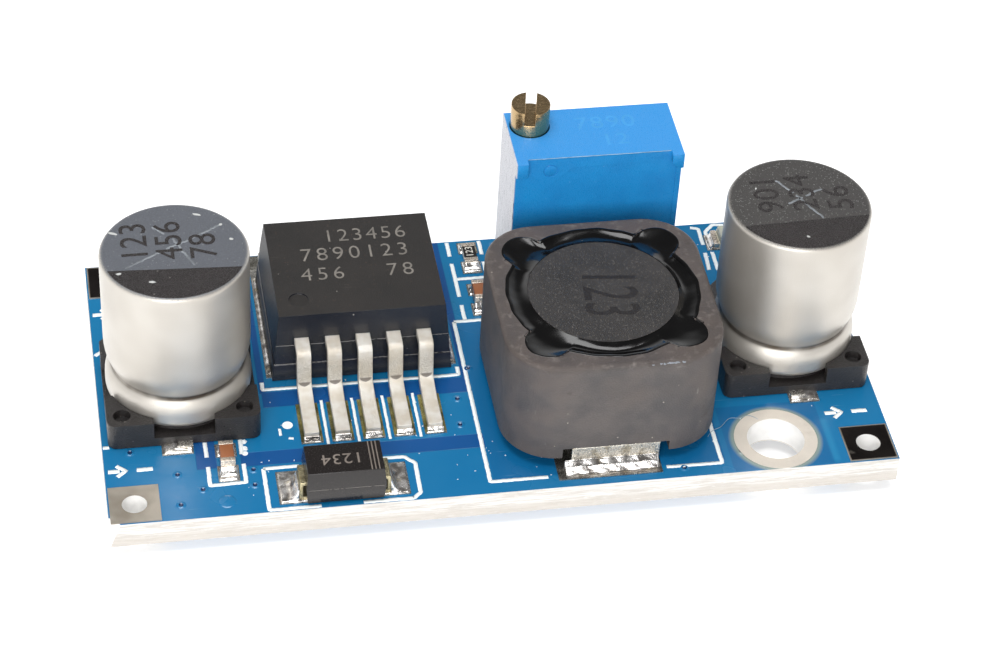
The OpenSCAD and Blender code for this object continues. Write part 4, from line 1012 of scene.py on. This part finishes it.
def lead_material():
    """Matte tin of the bent leads: sandy on the risers, brighter on the bends, warm at the cut ends, with a painted
    reflection: a dark half-round in each knee.
    """
    material, g, shader, v = new_material("Lead tin")
    z = g.split(v, 2)
    fine = g.group(grain_effect(), "Grain", Vector=v, Scale=24.0)
    mottle = g.group(grain_effect(), "Mottle", Vector=v, Scale=8.0)
    lo, hi = box_mm("regulator_leads")
    riser = g.math("MULTIPLY", g.spread(z, TOP + 0.7, TOP + 1.1), g.spread(z, TOP + 2.7, TOP + 1.9))
    # Painted reflection: a dark half-round in the knee of each lead, where the body shows in the bend.
    pitch = (hi[0] - lo[0] - 0.8) / 4
    across = g.math("WRAP", g.math("SUBTRACT", g.split(v, 0), lo[0] + 0.4), pitch / 2, -pitch / 2)
    down = g.spread(z, TOP + 0.98, TOP + 0.76)
    wide = g.math("MULTIPLY", g.math("SQRT", g.math("SUBTRACT", 1.0, g.math("MULTIPLY", down, down))), 0.36)
    shade = g.spread(g.math("SUBTRACT", wide, g.math("ABSOLUTE", across)), 0.0, 0.07)
    shade = g.math("MULTIPLY", shade, g.spread(z, TOP + 1.02, TOP + 0.94))
    base = g.mix(g.spread(mottle, 0.2, 0.8), tone(238, 234, 226), tone(220, 211, 196))
    base = g.mix(g.math("MULTIPLY", riser, g.spread(fine, 0.3, 0.7, 0.15, 1.0)), base, tone(176, 168, 154))
    base = g.mix(g.math("MULTIPLY", shade, 0.85), base, tone(110, 102, 96))
    feed(g, shader, Base_Color=base, Metallic=0.45, Roughness=g.spread(riser, 0.0, 1.0, 0.28, 0.42),
         Normal=bumped(g, g.math("ADD", fine, g.math("MULTIPLY", mottle, 0.5)), 0.02))
    return material


class CONVERTER_OT_regulator(bpy.types.Operator):
    """Regulator: moulded body with counting digits, bent leads and tab"""
    bl_idname = "converter.regulator"
    bl_label = "Regulator"

    def execute(self, context):
        look = context.scene.converter_parts
        skin("regulator_body", epoxy_material(look), look.edge, limit=30, smooth=30)
        skin("regulator_leads", lead_material(), look.edge, limit=50, smooth=50)
        skin("regulator_slug", tin("Tab tin", (196, 193, 187), 0.24), 0.04)
        give("regulator_die", plain_finish("Silicon", tone(110, 112, 122), 0.2, metal=0.4))
        z = box_mm("regulator_body")[1][2]
        ink = plain_finish("Marking ink", tone(132, 127, 120), 0.6, scale=16, shade=0.45)
        rows = [("123456", -5.9, 6.45, 1.5, 1.18), ("7890123", -6.66, 4.92, 1.55, 1.28),
                ("456", -8.65, 3.25, 1.5, 1.3), ("78", -4.3, 3.2, 1.5, 1.3)]
        parts = [digits(text, size, (x, y), 0, z - 0.003, 0.009, stretch=0.92, gap=gap, bold=-0.012)
                 for text, x, y, size, gap in rows]
        mesh_piece("regulator_marking", joined(parts), ink)
        # The parting line of the mould, and the flash that is left along the lower edge; both pale lines are also a
        # painted highlight along the ledges of the front.
        lo, hi = box_mm("regulator_body")
        flash = plain_finish("Mould flash and highlight", tone(120, 118, 116), 0.5, scale=18)
        lead_z = box_mm("regulator_leads")[1][2] - 0.46
        edge = [(lo[0] + 0.2, lo[1] + 0.147, lead_z), (hi[0] - 0.2, lo[1] + 0.147, lead_z)]
        low = [(lo[0] + 0.12, lo[1] + 0.092, TOP + 1.17), (hi[0] - 0.12, lo[1] + 0.092, TOP + 1.17)]
        strokes("regulator_flash_and_highlight", [edge, low], 0.035, 0, flash, ragged=0.03, thick=0.03)
        return {"FINISHED"}


# ---------------------------------------------------------------- inductor
def ferrite_material(look):
    """Ferrite shield: warm grey, tumbled, with brown tint, pale scuffs on the rims and stuck dust."""
    material, g, shader, v = new_material("Ferrite shield")
    fine = g.group(grain_effect(), "Grain", Vector=v, Scale=12.0)
    mottle = g.group(grain_effect(), "Mottle", Vector=v, Scale=6.0)
    wide = g.noise(v, 0.35, 2.0)
    z = g.split(v, 2)
    base = g.mix(g.spread(mottle, 0.1, 0.9), tuple(look.ferrite), tone(88, 82, 80))
    base = g.mix(g.spread(wide, 0.45, 0.7, 0.0, 0.5), base, tone(90, 80, 74))
    stain = g.group(scuff_effect(), "Mask", Vector=v, Scale=0.8)
    base = g.mix(g.math("MULTIPLY", stain, 0.35), base, tone(160, 156, 152))
    rim = g.spread(z, 8.3, 8.7)
    worn = g.math("MULTIPLY", rim, g.spread(g.noise(v, 2.4, 3.0), 0.55, 0.75))
    base = g.mix(g.math("MULTIPLY", rim, 0.45), base, tone(66, 54, 48))
    base = g.mix(g.math("MULTIPLY", worn, 0.45), base, tone(132, 124, 118))
    spot = g.noise(v, 0.9, 2.0)
    base = g.mix(g.spread(spot, 0.68, 0.74, 0.0, 0.5), base, tone(60, 50, 46))
    dust = g.group(speck_effect(), "Mask", Vector=v, Scale=1.7, Size=0.09, Share=0.35)
    base = g.mix(g.math("MULTIPLY", dust, 0.55), base, tone(206, 196, 182))
    feed(g, shader, Base_Color=base, Roughness=g.spread(fine, 0.0, 1.0, 0.34, 0.5),
         Normal=bumped(g, g.math("ADD", fine, g.math("MULTIPLY", mottle, 0.8)), 0.022))
    return material


def drum_material():
    """Ground ferrite disc: dark with fine glittering grains."""
    material, g, shader, v = new_material("Ferrite disc")
    fine = g.group(grain_effect(), "Grain", Vector=v, Scale=20.0)
    mottle = g.group(grain_effect(), "Mottle", Vector=v, Scale=5.0)
    stars = g.group(speck_effect(), "Mask", Vector=v, Scale=13.0, Size=0.42, Share=0.5)
    base = g.mix(g.math("MULTIPLY_ADD", fine, 0.6, g.math("MULTIPLY", mottle, 0.4)), tone(26, 25, 25),
                 tone(62, 58, 56))
    base = g.mix(g.math("MULTIPLY", stars, 0.3), base, tone(176, 168, 158))
    feed(g, shader, Base_Color=base, Roughness=g.spread(stars, 0.0, 1.0, 0.55, 0.22),
         Normal=bumped(g, fine, 0.03))
    return material


def resin_material():
    """Black potting resin: smooth and glossy, with slow waves and a little dust."""
    material, g, shader, v = new_material("Potting resin")
    wave = g.noise(v, 0.8, 1.0)
    dust = g.group(speck_effect(), "Mask", Vector=v, Scale=2.0, Size=0.06, Share=0.25)
    base = g.mix(g.math("MULTIPLY", dust, 0.5), g.mix(wave, tone(5, 5, 6), tone(12, 11, 11)), tone(150, 148, 144))
    feed(g, shader, Base_Color=base, Roughness=g.spread(wave, 0.3, 0.7, 0.1, 0.2), IOR=1.5,
         Normal=bumped(g, wave, 0.04))
    return material


def resin_mesh(centre, inner, bore, pocket, place, level, foot):
    """Resin between the disc and the shield: it wets both walls and fills the corner pockets."""
    steps, rings = 256, 14
    bm = bmesh.new()
    grid = []
    for i in range(steps):
        a = 2 * math.pi * i / steps
        ux, uy = math.cos(a), math.sin(a)
        reach, spread = bore, 6.0
        for sx in (-1, 1):
            for sy in (-1, 1):
                along = ux * sx * place + uy * sy * place
                off = 2 * place * place - along * along
                if along > 0:
                    inside = max(0.0, pocket * pocket - off)
                    lobe = along + math.sqrt(inside) if off < pocket * pocket else 0.0
                    off_far = max(0.0, math.sqrt(max(off, 0)) - pocket + 0.1)
                    lobe = max(lobe, bore + 0.55 - spread * off_far * off_far * 4) if off_far < 0.35 else lobe
                    reach = max(reach, lobe)
        column = []
        for j in range(rings + 1):
            t = j / rings
            r = inner + (reach - 0.01 - inner) * t
            dip = 0.2 + 0.05 * math.sin(3 * a + 0.6) + 0.03 * math.sin(7 * a)
            z = level - dip * math.sin(math.pi * t ** 0.8) ** 1.2
            column.append(bm.verts.new((centre[0] + r * ux, centre[1] + r * uy, z)))
        column.append(bm.verts.new((centre[0] + (reach - 0.01) * ux, centre[1] + (reach - 0.01) * uy, foot)))
        column.append(bm.verts.new((centre[0] + inner * ux, centre[1] + inner * uy, foot)))
        grid.append(column)
    n = len(grid[0])
    for i in range(steps):
        a, b = grid[i], grid[(i + 1) % steps]
        for j in range(n):
            k = (j + 1) % n
            bm.faces.new((a[j], a[k], b[k], b[j]))
    bmesh.ops.recalc_face_normals(bm, faces=bm.faces)
    return bm


def resin_rim(centre, bore, pocket, place, top):
    """Thin film of resin over the shield's inner rim; it rounds off the corners beside the pockets."""
    steps, bm, grid = 360, bmesh.new(), []
    for i in range(steps):
        a = 2 * math.pi * i / steps
        ux, uy = math.cos(a), math.sin(a)
        reach = bore
        for sx in (-1, 1):
            for sy in (-1, 1):
                along = (ux * sx + uy * sy) * place
                off = math.sqrt(max(0.0, 2 * place * place - along * along))
                if along > 0 and off < pocket + 0.45:
                    lobe = along + math.sqrt(max(0.0, pocket * pocket - off * off)) - max(0.0, off - pocket) * 0.6
                    soft = 0.3 + 0.08 * math.sin(5 * a)
                    blend = min(1.0, max(0.0, 0.5 + (lobe - reach) / soft))
                    reach = reach + (lobe - reach) * blend + soft * blend * (1 - blend)
        reach += 0.05 + 0.025 * math.sin(9 * a + 1) + 0.02 * math.sin(23 * a)
        column = [(reach, top - 0.01), (reach - 0.03, top + 0.008), (reach - 0.1, top + 0.012),
                  (reach - 0.22, top - 0.02), (reach - 0.22, top - 0.12)]
        grid.append([bm.verts.new((centre[0] + r * ux, centre[1] + r * uy, z)) for r, z in column])
    n = len(grid[0])
    for i in range(steps):
        p, q = grid[i], grid[(i + 1) % steps]
        for j in range(n):
            k = (j + 1) % n
            bm.faces.new((p[j], p[k], q[k], q[j]))
    bmesh.ops.recalc_face_normals(bm, faces=bm.faces)
    return bm


class CONVERTER_OT_inductor(bpy.types.Operator):
    """Shielded inductor: ferrite square, drum, wetted resin, painted strokes and terminals"""
    bl_idname = "converter.inductor"
    bl_label = "Inductor"

    def execute(self, context):
        look = context.scene.converter_parts
        skin("inductor_shield", ferrite_material(look), 0.12, segments=3, limit=50, smooth=45)
        skin("inductor_drum", drum_material(), look.edge, limit=50)
        skin("inductor_terminals", tin("Plate tin", (216, 211, 200), 0.22, 0.6, 4.0, stain=0.5), 0.05)
        give("inductor_winding", plain_finish("Enamelled wire", tone(150, 84, 44), 0.3, metal=0.6))
        lo, hi = box_mm("inductor_drum")
        centre = ((lo[0] + hi[0]) / 2, (lo[1] + hi[1]) / 2)
        rlo, rhi = box_mm("inductor_resin")
        mesh_piece("inductor_resin_fill",
                   resin_mesh(centre, 4.14, 5.3, 1.24, 3.72, hi[2] + 0.012, rlo[2]), resin_material(),
                   replaces=("inductor_resin",), smooth=70)
        shield_top = box_mm("inductor_shield")[1][2]
        mesh_piece("inductor_resin_rim", resin_rim(centre, 5.3, 1.24, 3.72, shield_top),
                   bpy.data.materials["Potting resin"], smooth=70)
        z = hi[2]
        paint = plain_finish("Black paint", tone(30, 26, 26), 0.35, scale=12, bump=0.01)
        mesh_piece("inductor_marking", digits("123", 4.3, (centre[0] + 0.2, centre[1] - 0.2), -96, z - 0.004, 0.011,
                                              stretch=0.62, gap=1.0, bold=0.0), paint)
        lo, hi = box_mm("inductor_shield")
        scuff = plain_finish("Blue grey scuff", tone(150, 156, 164), 0.45, scale=14, shade=0.6)
        bm = bmesh.new()
        rng = random.Random(4)
        for i in range(26):
            x, zz = rng.gauss(8.3, 0.42), hi[2] - abs(rng.gauss(0.02, 0.03)) - 0.1
            slab(bm, disc((x, lo[1] + 0.075 - rng.random() * 0.03), rng.uniform(0.03, 0.1), 7), zz - 0.03, zz + 0.012)
        mesh_piece("inductor_rim_scuff", bm, scuff)
        return {"FINISHED"}


# ---------------------------------------------------------------- trimmer
def trimmer_material(look):
    """Glossy blue plastic: cloudy, painted lighter on the top face, and painted pale grey on the left wall as a
    reflection of the floor, with dark streaks there.
    """
    material, g, shader, v = new_material("Trimmer plastic")
    lo, hi = box_mm("trimmer_housing")
    x, y, z = g.split(v, 0), g.split(v, 1), g.split(v, 2)
    fine = g.group(grain_effect(), "Grain", Vector=v, Scale=14.0)
    mottle = g.group(grain_effect(), "Mottle", Vector=v, Scale=5.0)
    base = g.mix(g.math("MULTIPLY", mottle, 0.4), tuple(look.trimmer), tone(26, 118, 190))
    # Painted light: the top face is a lighter blue than the sides.
    base = g.mix(g.spread(z, hi[2] - 0.08, hi[2] - 0.02), base, tone(42, 138, 208))
    # Painted reflection: the left wall and its edge are pale grey with dark streaks, as the white floor shows in
    # them.
    left = g.spread(x, lo[0] + 0.06, lo[0] + 0.02)
    run = g.noise(g.place(v, scale=(1.0, 3.4, 0.28)), 2.6, 3.0, 0.6)
    pale = g.mix(g.spread(run, 0.58, 0.68), tone(198, 197, 203), tone(112, 114, 126))
    base = g.mix(g.math("MULTIPLY", left, 0.92), base, pale)
    dust = g.group(speck_effect(), "Mask", Vector=v, Scale=2.2, Size=0.07, Share=0.3)
    base = g.mix(g.math("MULTIPLY", dust, 0.5), base, tone(170, 200, 220))
    feed(g, shader, Base_Color=base, Roughness=g.spread(fine, 0.0, 1.0, 0.22, 0.42), Coat_Weight=0.25,
         Coat_Roughness=0.15, Normal=bumped(g, fine, 0.012))
    return material


class CONVERTER_OT_trimmer(bpy.types.Operator):
    """Multi-turn trimmer: blue case, brass screw and the worn rim lines"""
    bl_idname = "converter.trimmer"
    bl_label = "Trimmer"

    def execute(self, context):
        look = context.scene.converter_parts
        skin("trimmer_housing", trimmer_material(look), 0.045, limit=50, smooth=40, segments=2)
        skin("trimmer_screw", plain_finish("Brass", tone(196, 168, 126), 0.24, metal=1.0, scale=5, shade=0.75,
                                           bump=0.006, rough_change=0.06, scuff=0.3), 0.03,
             body="screw", segments=2, limit=60, smooth=40)
        for node, name, colour, rough, metal in (
                ("trimmer_wheel", "Wheel nylon", (222, 216, 200), 0.5, 0),
                ("trimmer_wiper", "Wiper bronze", (196, 148, 88), 0.3, 1),
                ("trimmer_element", "Element ceramic", (232, 228, 218), 0.6, 0),
                ("trimmer_pins", "Pin tin", (206, 203, 196), 0.25, 1),
                ("trimmer_seal", "Seal rubber", (150, 60, 40), 0.6, 0),
                ("trimmer_potting", "Trimmer potting", (26, 70, 130), 0.35, 0)):
            give(node, plain_finish(name, tone(*colour), rough, metal=metal, scale=8))
        lo, hi = box_mm("trimmer_housing")
        worn = plain_finish("Rubbed edge", tone(176, 206, 226), 0.5, scale=18, shade=0.4)
        front = box_mm("trimmer_housing")[0][1] + 0.45
        line = [(lo[0] + 0.7, front - 0.005, hi[2] - 0.015), (hi[0] - 0.7, front - 0.005, hi[2] - 0.015)]
        faint = plain_finish("Faint case digits", tone(62, 152, 216), 0.5, scale=12, shade=0.8)
        z = hi[2]
        rows = [("7890", 1.5, 5.6, 3.35), ("12", 1.4, 5.9, 1.75)]
        parts = [digits(text, size, (lo[0] + x, lo[1] + y), 0, z - 0.004, 0.01, 1.1, 1.1)
                 for text, size, x, y in rows]
        mesh_piece("trimmer_marking", joined(parts), faint)
        strokes("trimmer_worn_edge", [line], 0.03, 0, worn, ragged=0.012, thick=0.03, seed=2)
        return {"FINISHED"}


# ---------------------------------------------------------------- small parts
class CONVERTER_OT_diode(bpy.types.Operator):
    """Diode with its cathode lines and plain digits"""
    bl_idname = "converter.diode"
    bl_label = "Diode"

    def execute(self, context):
        body = plain_finish("Diode moulding", tone(33, 29, 28), 0.22, scale=12, shade=0.8, bump=0.003, dust=0.1)
        skin("diode_body", body, 0.05, limit=30, smooth=30)
        skin("diode_terminals", tin("Diode tin", (190, 180, 146), 0.28, 0.5, 6.0, stain=0.75), 0.04)
        give("diode_die", plain_finish("Diode silicon", tone(112, 112, 118), 0.2, metal=0.4))
        z = box_mm("diode_body")[1][2]
        cx, cy, _ = middle("diode_body")
        ink = plain_finish("Diode ink", tone(128, 118, 110), 0.5, scale=16, shade=0.6)
        mesh_piece("diode_marking", digits("1234", 1.1, (cx - 0.12, cy - 0.05), 180, z - 0.003, 0.009, 1.0, 1.05),
                   ink)
        lo, hi = box_mm("diode_body")
        flash = plain_finish("Diode flash", tone(112, 108, 104), 0.5, scale=18)
        mid = (lo[2] + hi[2]) / 2
        strokes("diode_flash", [[(lo[0] + 0.1, lo[1] + 0.012, mid), (hi[0] - 0.1, lo[1] + 0.012, mid)]], 0.03, 0,
                flash, ragged=0.015, thick=0.03)
        strokes("diode_lines", [[(cx + d, cy - 1.07), (cx + d, cy + 1.07)] for d in (1.38, 1.58, 1.78)], 0.07,
                z + 0.003, ink, ragged=0.004)
        return {"FINISHED"}


class CONVERTER_OT_chips(bpy.types.Operator):
    """Chip capacitors, chip resistors and the lamp"""
    bl_idname = "converter.chips"
    bl_label = "Chip parts and lamp"

    def execute(self, context):
        ceramic = plain_finish("Brown ceramic", tone(150, 92, 56), 0.36, scale=12, shade=0.8, coat=0.25)
        ends = tin("Chip end tin", (216, 204, 190), 0.26, 0.25, 4.0, metal=0.8)
        for name in ("front_chip_cap", "rear_chip_cap"):
            skin(name + "_body", ceramic, 0.05, segments=2)
            skin(name + "_ends", ends, 0.08, segments=3)
        white = plain_finish("White ceramic", tone(222, 220, 212), 0.5, scale=12)
        glaze = plain_finish("Black glaze", tone(36, 34, 32), 0.2, scale=12, coat=0.5)
        for name in ("sense_resistor", "lamp_resistor"):
            skin(name + "_body", white, 0.03, segments=2)
            give(name + "_coat", glaze)
            skin(name + "_ends", ends, 0.06, segments=3)
        cx, cy, z = middle("sense_resistor_coat")
        pale = plain_finish("Chip digits", tone(214, 210, 200), 0.5, scale=16)
        parts = [digits("123", 0.62, (cx, cy), 90, z - 0.003, 0.011, 1.0, 1.0)]
        lx, ly, lz = middle("lamp_resistor_coat")
        parts.append(digits("456", 0.62, (lx, ly), 0, lz - 0.003, 0.011, 1.0, 1.0))
        mesh_piece("resistor_digits", joined(parts), pale)
        skin("lamp_ends", ends, 0.04, segments=2)
        give("lamp_base", plain_finish("Lamp base", tone(222, 214, 190), 0.5))
        clear, g, shader, v = new_material("Lamp lens")
        cloud = g.noise(v, 2.0, 2.0)
        feed(g, shader, Base_Color=g.mix(cloud, tone(236, 240, 214), tone(250, 250, 236)), Roughness=0.12,
             IOR=1.5, Transmission_Weight=0.55, Normal=bumped(g, cloud, 0.01))
        skin("lamp_lens", clear, 0.06, segments=3)
        return {"FINISHED"}


class CONVERTER_OT_dust(bpy.types.Operator):
    """Dust specks and one stray hair"""
    bl_idname = "converter.dust"
    bl_label = "Dust and hair"

    def execute(self, context):
        look = context.scene.converter_board
        dust = plain_finish("Dust", tone(226, 234, 238), 0.8, scale=20)
        areas = [((0, 0), (42.6, 20.4), 1.0, 1), ((-6, -6.4), (16, 7), 0.6, 2), ((10, 7), (20, 6), 0.5, 3)]
        for i, (place, size, share, seed) in enumerate(areas):
            specks("board_dust_%d" % (i + 1), (place[0], place[1], TOP + 0.006), size, look.dust_count * share,
                   0.055, seed, dust, "white_ceramic")
        hair = plain_finish("Hair", tone(150, 170, 184), 0.5, scale=8)
        path = []
        for i in range(41):
            t = i / 40
            sway = 1.3 * math.sin(t * 2.2) + 0.1 * math.sin(t * 17)
            path.append((11.4 + 3.2 * t, -7.6 + sway, TOP + 0.03 + 0.35 * t * (1 - t)))
        strokes("stray_hair", [path], 0.02, 0, hair, ragged=0.0, thick=0.02)
        return {"FINISHED"}


# ---------------------------------------------------------------- stage
class CONVERTER_OT_stage(bpy.types.Operator):
    """Pale floor, soft lamps, surround and camera"""
    bl_idname = "converter.stage"
    bl_label = "Stage"

    def execute(self, context):
        look = context.scene.converter_stage
        scene = context.scene
        scene.view_settings.view_transform = "Standard"
        floor_z = CAD_BOX[0][2] - 0.00002
        mesh = bpy.data.meshes.new("stage_floor")
        mesh.from_pydata([(-1.5, -1.5, floor_z), (1.5, -1.5, floor_z), (1.5, 1.5, floor_z), (-1.5, 1.5, floor_z)],
                         [], [(0, 1, 2, 3)])
        floor = bpy.data.objects.new("stage_floor", mesh)
        scene.collection.objects.link(floor)
        material = bpy.data.materials.new("Floor")
        material.use_nodes = True
        material.node_tree.nodes.clear()
        g = Graph(material.node_tree)
        shader = material.node_tree.nodes.new("ShaderNodeBsdfPrincipled")
        output = material.node_tree.nodes.new("ShaderNodeOutputMaterial")
        material.node_tree.links.new(shader.outputs[0], output.inputs[0])
        rays = material.node_tree.nodes.new("ShaderNodeLightPath")
        seen = g.math("ADD", rays.outputs["Is Camera Ray"], rays.outputs["Is Glossy Ray"])
        seen = g.math("ADD", seen, rays.outputs["Is Transmission Ray"], clamp=True)
        feed(g, shader, Base_Color=tone(232, 232, 232), Roughness=0.9, Specular_IOR_Level=0.1,
             Emission_Color=(1, 1, 1, 1), Emission_Strength=g.math("MULTIPLY", seen, 0.42))
        mesh.materials.append(material)
        world = bpy.data.worlds.new("Surround")
        scene.world = world
        world.use_nodes = True
        world.node_tree.nodes.clear()
        g = Graph(world.node_tree)
        rays = world.node_tree.nodes.new("ShaderNodeLightPath")
        up = g.split(g.add("ShaderNodeTexCoord", out=0), 2)
        seen = g.math("ADD", rays.outputs["Is Camera Ray"], rays.outputs["Is Transmission Ray"], clamp=True)
        glossy = rays.outputs["Is Glossy Ray"]
        mirror = g.math("MULTIPLY", glossy, g.spread(up, 0.3, 0.6, 1.0, 0.12))
        plain = g.math("MULTIPLY", g.math("SUBTRACT", 1.0, g.math("MAXIMUM", seen, glossy)), look.sky)
        strength = g.math("ADD", g.math("MAXIMUM", seen, mirror), plain)
        background = world.node_tree.nodes.new("ShaderNodeBackground")
        background.inputs[0].default_value = (1, 1, 1, 1)
        world.node_tree.links.new(strength, background.inputs[1])
        output = world.node_tree.nodes.new("ShaderNodeOutputWorld")
        world.node_tree.links.new(background.outputs[0], output.inputs[0])
        for name, place, size, power in (("Overhead lamp", (-0.03, 0.0, 0.36), 0.22, look.key_power),
                                         ("Front lamp", (-0.1, -0.34, 0.19), 0.2, look.fill_power)):
            lamp = bpy.data.lights.new(name, "AREA")
            lamp.shape = "SQUARE"
            lamp.size = size
            lamp.energy = power
            obj = bpy.data.objects.new(name, lamp)
            obj.location = place
            obj.rotation_euler = (Vector((0, 0, 0.004)) - Vector(place)).to_track_quat("-Z", "Y").to_euler()
            scene.collection.objects.link(obj)
        data = bpy.data.cameras.new("Camera")
        data.lens = look.lens
        data.sensor_width = 36
        data.clip_start = 0.001
        camera = bpy.data.objects.new("Camera", data)
        camera.matrix_world = (Matrix.Translation((-0.02418, -0.11775, 0.11105))
                               @ Matrix.Rotation(math.radians(-12.05), 4, "Z")
                               @ Matrix.Rotation(math.radians(90 - 41.755), 4, "X")
                               @ Matrix.Rotation(math.radians(3.705), 4, "Z"))
        scene.collection.objects.link(camera)
        scene.camera = camera
        return {"FINISHED"}


class CONVERTER_PT_panel(bpy.types.Panel):
    """Lists the steps and their settings"""
    bl_idname = "CONVERTER_PT_panel"
    bl_label = "Buck Converter Module"
    bl_space_type = "VIEW_3D"
    bl_region_type = "UI"
    bl_category = "Converter"

    def draw(self, context):
        layout = self.layout
        for step in STEPS:
            layout.operator(step.bl_idname)
        for name in SETTINGS:
            group = getattr(context.scene, name)
            for key in group.__annotations__:
                layout.prop(group, key)


STEPS = (CONVERTER_OT_board, CONVERTER_OT_vias, CONVERTER_OT_print, CONVERTER_OT_solder, CONVERTER_OT_cans,
         CONVERTER_OT_regulator, CONVERTER_OT_inductor, CONVERTER_OT_trimmer, CONVERTER_OT_diode,
         CONVERTER_OT_chips, CONVERTER_OT_dust, CONVERTER_OT_stage)
SETTINGS = {"converter_board": BoardSettings, "converter_cans": CanSettings, "converter_parts": PartSettings,
            "converter_stage": StageSettings}


def register():
    for cls in (*SETTINGS.values(), *STEPS, CONVERTER_PT_panel):
        bpy.utils.register_class(cls)
    for name, group in SETTINGS.items():
        setattr(bpy.types.Scene, name, PointerProperty(type=group))


def unregister():
    for name in SETTINGS:
        delattr(bpy.types.Scene, name)
    for cls in reversed((*SETTINGS.values(), *STEPS, CONVERTER_PT_panel)):
        bpy.utils.unregister_class(cls)


def main():
    register()
    for step in STEPS:
        if getattr(bpy.ops.converter, step.bl_idname.split(".")[1])() != {"FINISHED"}:
            raise RuntimeError("a step did not finish: " + step.bl_label)


if __name__ == "__main__":
    main()
